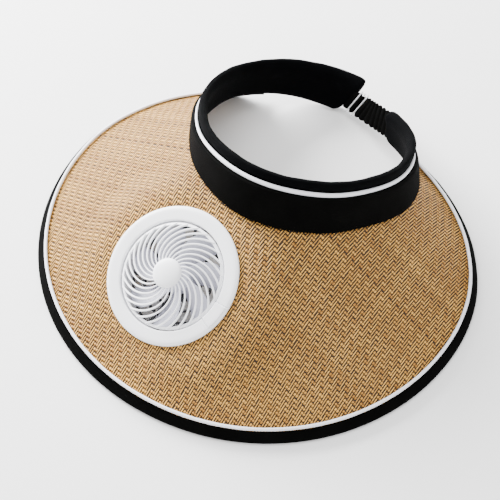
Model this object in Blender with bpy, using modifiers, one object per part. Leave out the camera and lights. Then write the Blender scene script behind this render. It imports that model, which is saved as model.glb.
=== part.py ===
"""Fan hat: a straw sun visor with a padded headband and a small fan set into its brim.

Metres, +Z up. The hat stands as it would by itself on a flat surface at Z = 0, on the
bound edge of its brim. Its front faces -Y. The head loop leans back, so the loop has a
tilted plane of its own. Angles round the loop start at the front and grow towards +X.
"""
import bmesh
import bpy
import math
import numpy as np
from mathutils import Matrix, Vector

MM = 0.001
NAME = "fan_hat"
GAP = 0.3 * MM

# Head loop: the plane of its white piping, above the floor at the middle of the loop
LOOP_HEIGHT = 65.3 * MM
LOOP_TILT = math.radians(26.5)

# From the middle of the loop to the middle of the hat's length
SET_BACK = 78.8 * MM

# Band, in mm: angle, radius of the piping's outer side, drop to the lower edge,
# rise of the padded roll, and how far the lower edge flares out
BAND_ROWS = (
    (-182, 100.0, 22.0, 14.0, 0.0),
    (-165, 99.5, 21.0, 14.5, 0.5),
    (-150, 98.5, 19.5, 14.0, 1.0),
    (-120, 95.0, 19.5, 12.0, 1.5),
    (-90, 91.0, 21.5, 10.5, 0.0),
    (-60, 91.5, 22.0, 9.5, -2.0),
    (-30, 97.0, 26.5, 9.0, -1.5),
    (0, 101.0, 31.0, 9.0, 1.0),
    (30, 95.5, 31.0, 9.0, 2.5),
    (60, 88.0, 29.5, 9.0, 3.0),
    (90, 87.0, 26.5, 9.0, 7.5),
    (120, 88.5, 22.5, 8.5, 7.5),
    (152, 88.0, 19.0, 7.0, 3.0),
)
BAND_START = -182.0
BAND_STOP = 152.0
BAND_STEPS = 46
TAIL_LENGTH = 26.0 * MM
TAIL_LEAN = 0.50
TAIL_ROUND = 0.4 * TAIL_LENGTH
TAIL_END_SHARE = 0.55
TAIL_ROWS = 4
TAIL_START_STEP = 2.0
TAIL_STOP_STEP = 2.2
TAIL_JOIN_STEP = 6.0
WALL = 2.0 * MM
PIPING_RADIUS = 1.9 * MM
PIPING_INSET = 1.6 * MM
PIPING_FROM = -166.0
PIPING_TO = 141.0

# Section of the padded sweatband, in mm: inset, height over the piping, and the shares
# of the band's drop and of the roll's rise that are added to that height
SWEATBAND_SECTION = (
    (2.4, 0.0, -1.0, 0.0),
    (2.4, -3.4, 0.0, 0.0),
    (3.95, -1.5, 0.0, 0.0),
    (3.95, 1.3, 0.0, 0.0),
    (2.4, 0.0, 0.0, 0.29),
    (1.2, 0.0, 0.0, 0.60),
    (3.2, 0.0, 0.0, 0.98),
    (6.6, 0.0, 0.0, 0.98),
    (8.8, 0.0, 0.0, 0.66),
    (9.0, 0.0, 0.0, 0.30),
    (7.6, -2.5, 0.0, 0.0),
    (6.4, 0.0, -0.5, 0.0),
    (5.6, 0.0, -1.0, 0.0),
)
STRAP_INSET = 4.0 * MM
STRAP_START_INSET = 7.0 * MM

# Brim, in mm: angle from the front, horizontal reach of its edge from the Z axis
BRIM_ROWS = (
    (0, 249.7),
    (15, 247.0),
    (30, 238.0),
    (45, 223.0),
    (60, 203.3),
    (75, 180.0),
    (90, 152.0),
    (105, 125.5),
    (119, 106.0),
    (134, 93.0),
)
BRIM_END = 132.0
TAPER_FROM = 116.0
TAPER_SHARE = 0.35
BRIM_THICKNESS = 1.4 * MM
BRIM_FLANGE = 6.0 * MM
BRIM_SHARES = (0.0, 0.07, 0.18, 0.33, 0.50, 0.67, 0.84, 1.0)
FINE_FROM = -44.0
FINE_TO = 22.0
FINE_ROWS = 15
LEFT_ROWS = 12
RIGHT_ROWS = 15

BINDING_WIDTH = 10.5 * MM
BINDING_MOST = 0.5
BINDING_SLOPE = math.radians(48.0)
BINDING_STEEPER = math.radians(20.0)
BINDING_CLOTH = 0.8 * MM
BINDING_SLACK = 0.55 * MM
TUCKED_SHARE = 0.55

# Section of the binding: share of its width, and height as a share of its half thickness
BINDING_OUTSIDE = (
    (0.12, 1.0),
    (0.55, 1.0),
    (0.93, 0.8),
    (1.0, 0.0),
    (0.93, -0.8),
    (0.55, -1.0),
    (0.12, -1.0),
)
BINDING_SLOT_END = 0.90
EDGE_REST = 0.62 * MM
EDGE_PIPING_RADIUS = 1.3 * MM
EDGE_PIPING_BACK = 0.8 * MM

# Fan, set flush in the brim: angle and share of the brim's width at its centre
FAN_ANGLE = -10.6
FAN_SHARE = 0.43
FLAT_RADIUS = 68.0 * MM
BLEND_RADIUS = 96.0 * MM
FLAT_FADE_AT_FOLD = 0.05
FLAT_FADE_AT_EDGE = 0.12
RING_OUTER = 54.3 * MM
RING_INNER = 42.8 * MM
RING_THICKNESS = 2.4 * MM
RING_LIP = (0.8 * MM, 0.4 * MM)
RING_SLOPE = (3.0 * MM, 0.8 * MM)
RING_EDGE = 0.6 * MM
LATCH_HALF_ANGLE = 10.7
LATCH_RAMP = 0.6
LATCH_RAISE = 0.9 * MM
RING_STEPS = 46
HOLE_RADIUS = 44.8 * MM
HOLE_DEPTH = 40.0 * MM
FLANGE_RADIUS = 47.6 * MM
FLANGE_THICKNESS = 1.6 * MM
DUCT_DEPTH = 19.0 * MM
DUCT_WALL = 1.6 * MM
DUCT_STEPS = 40

# Front guard: its ribs sweep round as they run from the domed cap out to the rim
RIBS = 28
RIB_SHARE = 0.36
RIB_SWEEP = math.radians(-62.0)
RIB_ROWS = 5
RIB_BEND = 1.15
GRILLE_RIM = 42.3 * MM
GRILLE_RING = 39.6 * MM
GRILLE_CAP = 11.0 * MM
GRILLE_CROWN = 6.8 * MM
GRILLE_RISE = 10.5 * MM
GRILLE_ROUNDNESS = 2.4
GRILLE_SHELF = (0.4 * MM, 0.5 * MM)
GRILLE_SKIRT = 2.4 * MM
CAP_RISE = 2.6 * MM
CAP_SHOULDER = 0.75
GRILLE_THICKNESS = 1.5 * MM
GRILLE_SEAT = 0.6

# Rear guard, flat: radii of its rings and of the slots between them, in mm
GUARD_SPOKES = 12
GUARD_SPOKE_SHARE = 0.24
GUARD_RINGS = (44.4, 40.6, 33.6, 31.6, 24.6, 22.6, 15.8, 12.0)
GUARD_THICKNESS = 1.6 * MM

MOTOR_RADIUS = 9.0 * MM
MOTOR_HEIGHT = 7.5 * MM
MOTOR_BEVEL = 0.8 * MM
MOTOR_STEPS = 20
SHAFT_RADIUS = 1.2 * MM
SHAFT_LENGTH = 5.0 * MM
SHAFT_CLEARANCE = 0.25 * MM
HUB_RADIUS = 12.0 * MM
HUB_HEIGHT = 7.6 * MM
HUB_BEVEL = 2.0 * MM
HUB_STEPS = 28

# Blades, from a root inside the hub to the tip: share of the way out, chord in mm,
# pitch in degrees, and how far the section lags behind the root, in degrees
BLADES = 7
BLADE_ROOT = 9.0 * MM
BLADE_REACH = 39.4 * MM
BLADE_THICKNESS = 1.3 * MM
BLADE_SECTIONS = (
    (0.0, 12.0, 40.0, 0.0),
    (0.35, 18.5, 32.0, -3.3),
    (0.7, 22.0, 26.0, -9.4),
    (1.0, 23.5, 22.0, -16.0),
)

# Back closure: a gathered elastic strap threaded through a slider
STRAP_WIDTH = 20.2 * MM
STRAP_THICKNESS = 1.5 * MM
STRAP_UPRIGHT_AFTER = 0.6
STRAP_GATHERS = 7
STRAP_SCALLOP = 1.5 * MM
STRAP_PUFF = 1.3 * MM
STRAP_START = 1.1 * MM
STRAP_STOP = 1.6 * MM
STRAP_HEIGHT = -10.0 * MM
STRAP_START_HEIGHT = -13.0 * MM
SLIDER_FROM_TAIL = 7.5 * MM
SLIDER_BAR = 1.2 * MM
SLIDER_THICKNESS = 1.0 * MM
SLIDER_PITCH = 3.5 * MM
SLIDER_LENGTH = 29.0 * MM
SLIDER_END = 1.6 * MM
SLIDER_ZONE = 1.5 * SLIDER_PITCH
SLIDER_STATIONS = 12
STATIONS_PER_GATHER = 3
WEAVE_DEPTH = 1.6 * MM
THREADED_THICKNESS = 0.9 * MM
STRAP_SECTION = ((-1, 0), (-0.7, 1), (0, 1), (0.7, 1), (1, 0), (0.7, -1), (0, -1), (-0.7, -1))

COLOURS = {
    "straw": ((0.62, 0.42, 0.22), 0.8),
    "black_cloth": ((0.012, 0.012, 0.014), 0.85),
    "white_cord": ((0.85, 0.84, 0.90), 0.6),
    "white_plastic": ((0.88, 0.89, 0.92), 0.35),
    "grey_plastic": ((0.55, 0.55, 0.58), 0.4),
    "motor_metal": ((0.45, 0.45, 0.47), 0.35),
}


def clear_scene():
    for item in list(bpy.data.objects):
        bpy.data.objects.remove(item, do_unlink=True)


def new_collection(name):
    group = bpy.data.collections.new(name)
    bpy.context.scene.collection.children.link(group)
    return group


def make_material(node, finish):
    colour, roughness = COLOURS[finish]
    material = bpy.data.materials.new(node + "_" + finish)
    material.use_nodes = True
    shader = material.node_tree.nodes["Principled BSDF"]
    shader.inputs["Base Color"].default_value = (*colour, 1.0)
    shader.inputs["Roughness"].default_value = roughness
    shader.inputs["Metallic"].default_value = 1.0 if finish == "motor_metal" else 0.0
    return material


def add_object(name, data, group, finish, smooth=True):
    item = bpy.data.objects.new(name, data)
    group.objects.link(item)
    data.materials.append(make_material(name, finish))
    if smooth and item.type == "MESH":
        data.shade_smooth()
        data.set_sharp_from_angle(angle=math.radians(40.0))
    return item


def mesh_from_faces(name, points, faces):
    mesh = bpy.data.meshes.new(name)
    mesh.from_pydata([tuple(point) for point in points], [], faces)
    mesh.update()
    return mesh


def table_value(rows, at, column):
    """Read one column of a table by a smooth curve through its rows."""
    keys = np.array([row[0] for row in rows], float)
    values = np.array([row[column] for row in rows], float)
    slopes = np.gradient(values, keys)
    low = int(np.clip(np.searchsorted(keys, at) - 1, 0, len(keys) - 2))
    span = keys[low + 1] - keys[low]
    t = (at - keys[low]) / span
    start = values[low] * (1 + 2 * t) * (1 - t) ** 2 + slopes[low] * span * t * (1 - t) ** 2
    stop = values[low + 1] * t * t * (3 - 2 * t) + slopes[low + 1] * span * t * t * (t - 1)
    return start + stop


def ease(value):
    value = min(max(value, 0.0), 1.0)
    return value * value * (3.0 - 2.0 * value)


def loft(name, rows, closed_path=False):
    """Skin a closed solid over rows of points, each row one closed section."""
    count = len(rows[0])
    points = [point for row in rows for point in row]
    faces = []
    steps = len(rows) if closed_path else len(rows) - 1
    for i in range(steps):
        here = i * count
        there = ((i + 1) % len(rows)) * count
        for j in range(count):
            k = (j + 1) % count
            faces.append((here + j, here + k, there + k, there + j))
    if not closed_path:
        faces.append(tuple(reversed(range(count))))
        faces.append(tuple(range(len(points) - count, len(points))))
    mesh = mesh_from_faces(name, points, faces)
    face_outwards(mesh)
    return mesh


def face_outwards(mesh):
    work = bmesh.new()
    work.from_mesh(mesh)
    bmesh.ops.recalc_face_normals(work, faces=work.faces)
    if work.calc_volume(signed=True) < 0.0:
        bmesh.ops.reverse_faces(work, faces=work.faces)
    work.to_mesh(mesh)
    work.free()


def grid_sheet(name, rows):
    """Join rows of points into an open sheet of quads."""
    count = len(rows[0])
    points = [point for row in rows for point in row]
    faces = []
    for i in range(len(rows) - 1):
        here = i * count
        there = here + count
        for j in range(count - 1):
            faces.append((here + j, here + j + 1, there + j + 1, there + j))
    return mesh_from_faces(name, points, faces)


def add_solidify(item, thickness, offset):
    shell = item.modifiers.new("Thickness", "SOLIDIFY")
    shell.thickness = thickness
    shell.offset = offset
    shell.use_even_offset = True


def add_tube(name, points, radius, group, finish):
    curve = bpy.data.curves.new(name, "CURVE")
    curve.dimensions = "3D"
    curve.bevel_depth = radius
    curve.bevel_resolution = 2
    curve.use_fill_caps = True
    spline = curve.splines.new("POLY")
    spline.points.add(len(points) - 1)
    for target, point in zip(spline.points, points):
        target.co = (*point, 1.0)
    return add_object(name, curve, group, finish)


def turned(name, profile, group, finish, steps):
    """Turn a profile of (radius, height) points about its own Z axis.

    A profile that starts and ends on the axis stays open; any other is a closed ring.
    """
    mesh = bpy.data.meshes.new(name)
    count = len(profile)
    on_axis = profile[0][0] == 0.0 and profile[-1][0] == 0.0
    edges = [(i, (i + 1) % count) for i in range(count - 1 if on_axis else count)]
    mesh.from_pydata([(radius, 0.0, height) for radius, height in profile], edges, [])
    item = add_object(name, mesh, group, finish, smooth=False)
    screw = item.modifiers.new("Turn", "SCREW")
    screw.angle = math.tau
    screw.steps = steps
    screw.render_steps = steps
    screw.use_merge_vertices = True
    screw.merge_threshold = 0.0001
    return item


def cut(item, cutter):
    step = item.modifiers.new("Cut", "BOOLEAN")
    step.operation = "DIFFERENCE"
    step.solver = "EXACT"
    step.object = cutter


def add_cutter(name, radius, depth, place, group):
    bpy.ops.mesh.primitive_cylinder_add(vertices=64, radius=radius, depth=depth)
    cutter = bpy.context.active_object
    cutter.name = name
    for holder in list(cutter.users_collection):
        holder.objects.unlink(cutter)
    group.objects.link(cutter)
    cutter.matrix_world = place
    cutter.hide_render = True
    cutter.display_type = "WIRE"
    return cutter


def loop_point(angle, radius, height, along=0.0):
    """A point by its place round the loop, its radius and its height over the piping."""
    turn = math.radians(angle)
    x = radius * math.sin(turn) + along * math.cos(turn)
    y = -radius * math.cos(turn) + along * math.sin(turn)
    sine, cosine = math.sin(LOOP_TILT), math.cos(LOOP_TILT)
    return Vector((x, y * cosine + height * sine, LOOP_HEIGHT - y * sine + height * cosine))


def band_size(angle):
    """Radius, drop, rise and flare of the band at an angle."""
    return [table_value(BAND_ROWS, angle, column) * MM for column in (1, 2, 3, 4)]


def tail_shape(angle):
    """Share of the full height kept near an end of the band, and its lean there."""
    radius = band_size(angle)[0]
    from_start = math.radians(angle - BAND_START) * radius
    from_stop = math.radians(BAND_STOP - angle) * radius
    near = min(from_start, from_stop)
    rounded = 1.0
    if near < TAIL_ROUND:
        arc = math.sqrt(max(0.0, 1.0 - (1.0 - near / TAIL_ROUND) ** 2))
        rounded = TAIL_END_SHARE + (1.0 - TAIL_END_SHARE) * arc
    lean = TAIL_LEAN * (1.0 - ease(from_start / TAIL_LENGTH))
    return rounded, -lean


def band_point(angle, inset, height):
    """A point of the band by its inset from the piping's outer side and its height."""
    radius, drop, _, flare = band_size(angle)
    rounded, lean = tail_shape(angle)
    out = flare * max(0.0, -height / drop)
    height *= rounded
    return loop_point(angle, radius + out - inset, height, along=lean * height)


def spread(start, stop, steps):
    return [start + (stop - start) * i / steps for i in range(steps + 1)]


def add_headband(group):
    rows = []
    for angle in band_angles():
        drop = band_size(angle)[1]
        top = -(PIPING_RADIUS + GAP)
        heights = (top, 0.5 * (top - drop), -drop)
        rows.append([band_point(angle, 0.0, height) for height in heights])
    item = add_object("headband", grid_sheet("headband", rows), group, "black_cloth")
    add_solidify(item, WALL, 1.0)
    return item


def band_angles():
    """Closer rows near both ends, where the band's outline is rounded."""
    start = [BAND_START + TAIL_START_STEP * i for i in range(TAIL_ROWS)]
    stop = [BAND_STOP - TAIL_STOP_STEP * i for i in reversed(range(TAIL_ROWS))]
    steps = BAND_STEPS - 2 * TAIL_ROWS
    return start + spread(start[-1] + TAIL_JOIN_STEP, stop[0] - TAIL_JOIN_STEP, steps) + stop


def add_band_piping(group):
    points = []
    for angle in band_angles():
        if PIPING_FROM < angle < PIPING_TO:
            points.append(band_point(angle, PIPING_INSET, 0.0))
    return add_tube("band_piping", points, PIPING_RADIUS, group, "white_cord")


def add_sweatband(group):
    rows = []
    for angle in band_angles():
        drop, rise = band_size(angle)[1:3]
        row = []
        for inset, height, of_drop, of_rise in SWEATBAND_SECTION:
            level = height * MM + of_drop * drop + of_rise * rise
            row.append(band_point(angle, inset * MM, level))
        rows.append(row)
    return add_object("sweatband", loft("sweatband", rows), group, "black_cloth")


def mirrored_brim_rows():
    return [(-row[0], row[1]) for row in reversed(BRIM_ROWS[1:])] + list(BRIM_ROWS)


def brim_angles():
    """Closer rows beside the fan than round the rest of the brim."""
    left = spread(-BRIM_END, FINE_FROM, LEFT_ROWS)
    fine = spread(FINE_FROM, FINE_TO, FINE_ROWS)
    right = spread(FINE_TO, BRIM_END, RIGHT_ROWS)
    return left + fine[1:] + right[1:]


def brim_lines(angle):
    """The lines that the brim hangs between: flange, fold, piping line and edge."""
    radius, drop, _, flare = band_size(angle)
    under = -drop - GAP - 0.5 * BRIM_THICKNESS
    fold = loop_point(angle, radius + flare, under)
    flange = loop_point(angle, radius + flare - BRIM_FLANGE, under)
    reach = table_value(mirrored_brim_rows(), angle, 1) * MM
    turn = math.radians(angle)
    edge = Vector((reach * math.sin(turn), -reach * math.cos(turn), EDGE_REST))
    narrowed = TAPER_SHARE * ease((abs(angle) - TAPER_FROM) / (BRIM_END - TAPER_FROM))
    edge = fold.lerp(edge, 1.0 - narrowed)
    width = min(BINDING_WIDTH, BINDING_MOST * (edge - fold).length)
    inward = Vector((fold.x - edge.x, fold.y - edge.y, 0.0)).normalized()
    slope = BINDING_SLOPE + BINDING_STEEPER * narrowed
    line = edge + width * (math.cos(slope) * inward + math.sin(slope) * Vector((0, 0, 1)))
    return flange, fold, line, edge


def ruled_point(angle, share):
    _, fold, line, _ = brim_lines(angle)
    return fold.lerp(line, share)


def fan_frame():
    """Fan centre on the brim and its axes: sideways, up the slope, and outwards."""
    aside = 4.0
    along = 0.1
    centre = ruled_point(FAN_ANGLE, FAN_SHARE)
    across = ruled_point(FAN_ANGLE + aside, FAN_SHARE) - ruled_point(FAN_ANGLE - aside, FAN_SHARE)
    down = ruled_point(FAN_ANGLE, FAN_SHARE + along) - ruled_point(FAN_ANGLE, FAN_SHARE - along)
    axis = down.cross(across).normalized()
    if axis.z < 0.0:
        axis = -axis
    side = Vector((0, 0, 1)).cross(axis).normalized()
    up = axis.cross(side)
    frame = Matrix((side, up, axis)).transposed().to_4x4()
    frame.translation = centre
    return frame


def flattened(point, frame, share):
    """Press the brim flat under the fan's ring, and blend back to the free surface."""
    local = frame.inverted() @ point
    distance = math.hypot(local.x, local.y)
    keep = 1.0 - ease((distance - FLAT_RADIUS) / (BLEND_RADIUS - FLAT_RADIUS))
    keep *= ease(share / FLAT_FADE_AT_FOLD) * ease((1.0 - share) / FLAT_FADE_AT_EDGE)
    local.z *= 1.0 - keep
    return frame @ local


def brim_row(angle, frame):
    flange, fold, line, edge = brim_lines(angle)
    row = [flange]
    row += [flattened(fold.lerp(line, share), frame, share) for share in BRIM_SHARES]
    row.append(line.lerp(edge, TUCKED_SHARE))
    return row


def add_brim(group, cutters, frame):
    rows = [brim_row(angle, frame) for angle in brim_angles()]
    item = add_object("brim", grid_sheet("brim", rows), group, "straw")
    add_solidify(item, BRIM_THICKNESS, 0.0)
    cutter = add_cutter("fan_hole_cutter", HOLE_RADIUS, HOLE_DEPTH, frame, cutters)
    cut(item, cutter)
    return item


def add_binding(group):
    """A cloth tape folded round the brim's edge, open towards the straw."""
    slot = 0.5 * BRIM_THICKNESS + BINDING_SLACK
    thick = slot + BINDING_CLOTH
    rows = []
    for angle in brim_angles():
        _, _, line, edge = brim_lines(angle)
        width = (edge - line).length
        out = (edge - line).normalized()
        normal = lift_direction(angle, out)
        mouth = BINDING_OUTSIDE[0][0]
        section = [(mouth, slot)]
        section += [(share, height * thick) for share, height in BINDING_OUTSIDE]
        section += [(mouth, -slot), (BINDING_SLOT_END, -slot), (BINDING_SLOT_END, slot)]
        rows.append([line + share * width * out + height * normal for share, height in section])
    return add_object("brim_binding", loft("brim_binding", rows), group, "black_cloth")


def lift_direction(angle, out):
    """The upward normal of the brim at its edge, square to a direction out along it."""
    step = 0.5
    before = brim_lines(angle - step)[3]
    after = brim_lines(angle + step)[3]
    normal = out.cross(after - before).normalized()
    return normal if normal.z > 0.0 else -normal


def add_brim_piping(group):
    """The white cord that lies on the straw along the binding's inner edge."""
    points = []
    for angle in brim_angles():
        _, fold, line, _ = brim_lines(angle)
        slope = (line - fold).normalized()
        normal = lift_direction(angle, slope)
        height = 0.5 * BRIM_THICKNESS + GAP + EDGE_PIPING_RADIUS
        points.append(line - EDGE_PIPING_BACK * slope + height * normal)
    return add_tube("brim_piping", points, EDGE_PIPING_RADIUS, group, "white_cord")


def ring_turns():
    """Angles of the ring's sections: even steps, and a short ramp at each latch end."""
    first = LATCH_HALF_ANGLE + LATCH_RAMP
    ramps = [0.0, first - 2.0 * LATCH_RAMP, 360.0 - first + 2.0 * LATCH_RAMP]
    return sorted(ramps + spread(first, 360.0 - first, RING_STEPS - 1))


def add_fan_ring(group, frame):
    """A flat flange on the straw with a short sleeve through the hole and one latch."""
    seat = 0.5 * BRIM_THICKNESS + GAP
    top = seat + RING_THICKNESS
    sleeve = -0.5 * BRIM_THICKNESS
    sleeve_outer = HOLE_RADIUS - 2.0 * GAP
    rows = []
    for turn in ring_turns():
        from_latch = min(turn, 360.0 - turn)
        raised = top + (LATCH_RAISE if from_latch < LATCH_HALF_ANGLE else 0.0)
        section = (
            (sleeve_outer, seat),
            (sleeve_outer, sleeve),
            (RING_INNER, sleeve),
            (RING_INNER, top - RING_LIP[1]),
            (RING_INNER + RING_LIP[0], raised),
            (RING_OUTER - RING_SLOPE[0], raised),
            (RING_OUTER - RING_EDGE, raised - RING_SLOPE[1]),
            (RING_OUTER, seat),
        )
        angle = math.radians(turn)
        rows.append([Vector((r * math.cos(angle), r * math.sin(angle), z)) for r, z in section])
    item = add_object("fan_ring", loft("fan_ring", rows, closed_path=True), group, "white_plastic")
    item.matrix_world = frame
    return item


def add_fan_housing(group, frame):
    top = -0.5 * BRIM_THICKNESS - GAP
    flange = top - FLANGE_THICKNESS
    foot = top - DUCT_DEPTH
    outer = RING_INNER + DUCT_WALL
    profile = [
        (FLANGE_RADIUS, top),
        (FLANGE_RADIUS, flange),
        (outer, flange),
        (outer, foot),
        (RING_INNER, foot),
        (RING_INNER, top),
    ]
    item = turned("fan_housing", profile, group, "white_plastic", DUCT_STEPS)
    item.matrix_world = frame
    return item


def grille_height(radius):
    """Domed guard: highest at the cap, level with the ring at its rim."""
    share = min(radius / GRILLE_RIM, 1.0)
    return GRILLE_RISE * (1.0 - share ** GRILLE_ROUNDNESS)


def add_fan_grille(group, frame):
    """Curved ribs from a domed cap to a rim, as one pierced sheet with a thickness."""
    work = bmesh.new()
    base = 0.5 * BRIM_THICKNESS + GAP + GRILLE_SEAT * RING_THICKNESS
    radii = [GRILLE_CAP + (GRILLE_RING - GRILLE_CAP) * i / RIB_ROWS for i in range(RIB_ROWS + 1)]
    columns = 2 * RIBS

    def ring_at(radius, height, sweep):
        ring = []
        for i in range(columns):
            rib = i // 2
            half = 0.5 if i % 2 else -0.5
            turn = math.tau * (rib + half * RIB_SHARE) / RIBS + sweep
            ring.append(work.verts.new((radius * math.cos(turn), radius * math.sin(turn), height)))
        return ring

    rings = []
    for i, radius in enumerate(radii):
        sweep = RIB_SWEEP * (i / RIB_ROWS) ** RIB_BEND
        rings.append(ring_at(radius, base + grille_height(radius), sweep))
    rim = ring_at(GRILLE_RIM - GRILLE_SHELF[0], base + GRILLE_SHELF[1], RIB_SWEEP)
    skirt = ring_at(GRILLE_RIM, base - GRILLE_SKIRT, RIB_SWEEP)
    shoulder = base + grille_height(GRILLE_CROWN) + CAP_SHOULDER * CAP_RISE
    cap = ring_at(GRILLE_CROWN, shoulder, 0.0)
    crown = work.verts.new((0.0, 0.0, base + GRILLE_RISE + CAP_RISE))
    for i in range(columns):
        j = (i + 1) % columns
        for low, high in ((rings[-1], rim), (rim, skirt), (cap, rings[0])):
            work.faces.new((low[i], high[i], high[j], low[j]))
        work.faces.new((crown, cap[i], cap[j]))
        if i % 2 == 0:
            for low, high in zip(rings, rings[1:]):
                work.faces.new((low[i], high[i], high[j], low[j]))
    bmesh.ops.recalc_face_normals(work, faces=work.faces)
    if sum(face.normal.z for face in work.faces) < 0.0:
        bmesh.ops.reverse_faces(work, faces=work.faces)
    mesh = bpy.data.meshes.new("fan_grille")
    work.to_mesh(mesh)
    work.free()
    item = add_object("fan_grille", mesh, group, "white_plastic")
    add_solidify(item, GRILLE_THICKNESS, -1.0)
    item.matrix_world = frame
    return item


def guard_top():
    """Height of the rear guard's front face, below the foot of the duct."""
    return -0.5 * BRIM_THICKNESS - 2.0 * GAP - DUCT_DEPTH


def add_rear_guard(group, frame):
    """Flat slotted guard that closes the duct and carries the motor."""
    work = bmesh.new()
    columns = 3 * GUARD_SPOKES
    spoke = 0.5 * GUARD_SPOKE_SHARE
    offsets = (-spoke, spoke, 0.5)
    rings = []
    for radius in GUARD_RINGS:
        ring = []
        for i in range(columns):
            turn = math.tau * (i // 3 + offsets[i % 3]) / GUARD_SPOKES
            place = (radius * MM * math.cos(turn), radius * MM * math.sin(turn), 0.0)
            ring.append(work.verts.new(place))
        rings.append(ring)
    for k, (outer, inner) in enumerate(zip(rings, rings[1:])):
        for i in range(columns):
            j = (i + 1) % columns
            if k % 2 == 0 or i % 3 == 0:
                work.faces.new((outer[i], outer[j], inner[j], inner[i]))
    centre = work.verts.new((0.0, 0.0, 0.0))
    for i in range(columns):
        work.faces.new((centre, rings[-1][i], rings[-1][(i + 1) % columns]))
    mesh = bpy.data.meshes.new("rear_guard")
    work.to_mesh(mesh)
    work.free()
    item = add_object("rear_guard", mesh, group, "grey_plastic", smooth=False)
    add_solidify(item, GUARD_THICKNESS, -1.0)
    item.matrix_world = frame @ Matrix.Translation((0.0, 0.0, guard_top()))
    return item


def add_fan_motor(group, frame):
    base = guard_top() + GAP
    top = base + MOTOR_HEIGHT
    profile = [
        (0.0, top + SHAFT_LENGTH),
        (SHAFT_RADIUS, top + SHAFT_LENGTH),
        (SHAFT_RADIUS, top),
        (MOTOR_RADIUS - MOTOR_BEVEL, top),
        (MOTOR_RADIUS, top - MOTOR_BEVEL),
        (MOTOR_RADIUS, base),
        (0.0, base),
    ]
    item = turned("fan_motor", profile, group, "motor_metal", MOTOR_STEPS)
    item.matrix_world = frame
    return item


def blade_rows():
    """Sections of one blade from inside the hub to its tip, flatter outwards."""
    rows = []
    for share, chord, pitch, lag in BLADE_SECTIONS:
        radius = BLADE_ROOT + (BLADE_REACH - BLADE_ROOT) * share
        pitch = math.radians(pitch)
        row = []
        for along, lift in ((-0.5, -0.5), (0.5, -0.5), (0.5, 0.5), (-0.5, 0.5)):
            flat = Vector((along * chord * MM, lift * BLADE_THICKNESS))
            across = flat.x * math.cos(pitch) - flat.y * math.sin(pitch)
            height = flat.x * math.sin(pitch) + flat.y * math.cos(pitch)
            turn = math.radians(lag) + across / max(radius, HUB_RADIUS)
            row.append(Vector((radius * math.cos(turn), radius * math.sin(turn), height)))
        rows.append(row)
    return rows


def add_fan_rotor(group, cutters, frame):
    """Hub with a shaft bore and curved blades, fused into one body."""
    base = guard_top() + 2.0 * GAP + MOTOR_HEIGHT
    top = base + HUB_HEIGHT
    bore = SHAFT_RADIUS + SHAFT_CLEARANCE
    bore_top = base + SHAFT_LENGTH + GAP
    profile = [
        (0.0, top),
        (HUB_RADIUS - HUB_BEVEL, top),
        (HUB_RADIUS, top - HUB_BEVEL),
        (HUB_RADIUS, base),
        (bore, base),
        (bore, bore_top),
        (0.0, bore_top),
    ]
    item = turned("fan_rotor", profile, group, "white_plastic", HUB_STEPS)
    item.matrix_world = frame
    blade = loft("blade", blade_rows())
    for i in range(BLADES):
        copy = bpy.data.objects.new("blade_guide_%d" % i, blade)
        cutters.objects.link(copy)
        copy.hide_render = True
        copy.display_type = "WIRE"
        turn = Matrix.Rotation(math.tau * i / BLADES, 4, "Z")
        lift = Matrix.Translation((0.0, 0.0, 0.5 * (base + top)))
        copy.matrix_world = frame @ lift @ turn
        join = item.modifiers.new("Blade %d" % i, "BOOLEAN")
        join.operation = "UNION"
        join.solver = "EXACT"
        join.object = copy
    return item


def strap_frame():
    """Ends of the strap, its direction, and its inward and upright directions."""
    start = band_point(BAND_START, STRAP_START_INSET, STRAP_START_HEIGHT)
    stop = band_point(BAND_STOP, STRAP_INSET, STRAP_HEIGHT)
    ahead = (stop - start).normalized()
    upright = Vector((0.0, math.sin(LOOP_TILT), math.cos(LOOP_TILT)))
    inward = upright.cross(ahead).normalized()
    middle = loop_point(0.0, 0.0, STRAP_HEIGHT)
    if inward.dot(middle - start) < 0.0:
        inward = -inward
    upright = ahead.cross(inward).normalized()
    if upright.z < 0.0:
        upright = -upright
    return start, stop, ahead, inward, upright


def strap_stations(length):
    """Distances along the strap: close together where it is threaded and gathered."""
    before = spread(STRAP_START, SLIDER_FROM_TAIL - SLIDER_ZONE, 1)
    past = SLIDER_FROM_TAIL + SLIDER_ZONE
    threaded = spread(SLIDER_FROM_TAIL - SLIDER_ZONE, past, SLIDER_STATIONS)
    gathered = spread(past, length - STRAP_STOP, STATIONS_PER_GATHER * STRAP_GATHERS)
    return before[:-1] + threaded + gathered[1:]


def add_elastic_strap(group):
    """Gathered elastic: scalloped edges and puffs, and a weave through the slider."""
    start, stop, ahead, inward, upright = strap_frame()
    length = (stop - start).length
    free = length - SLIDER_FROM_TAIL - SLIDER_ZONE
    rows = []
    for along in strap_stations(length):
        from_slider = (along - SLIDER_FROM_TAIL) / SLIDER_PITCH
        threaded = abs(from_slider) <= 1.5
        past = max(0.0, along - SLIDER_FROM_TAIL - SLIDER_ZONE) / free
        weave = WEAVE_DEPTH * math.cos(math.pi * from_slider) if threaded else 0.0
        gather = abs(math.sin(STRAP_GATHERS * math.pi * past))
        side = upright + TAIL_LEAN * (1.0 - ease(past / STRAP_UPRIGHT_AFTER)) * ahead
        half_width = 0.5 * STRAP_WIDTH + STRAP_SCALLOP * gather
        flat = THREADED_THICKNESS if threaded else STRAP_THICKNESS
        half_thick = 0.5 * flat + 0.5 * STRAP_PUFF * gather
        row = []
        for across, through in STRAP_SECTION:
            through = weave + half_thick * through
            row.append(start + along * ahead + half_width * across * side + through * inward)
        rows.append(row)
    return add_object("elastic_strap", loft("elastic_strap", rows), group, "black_cloth")


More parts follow.
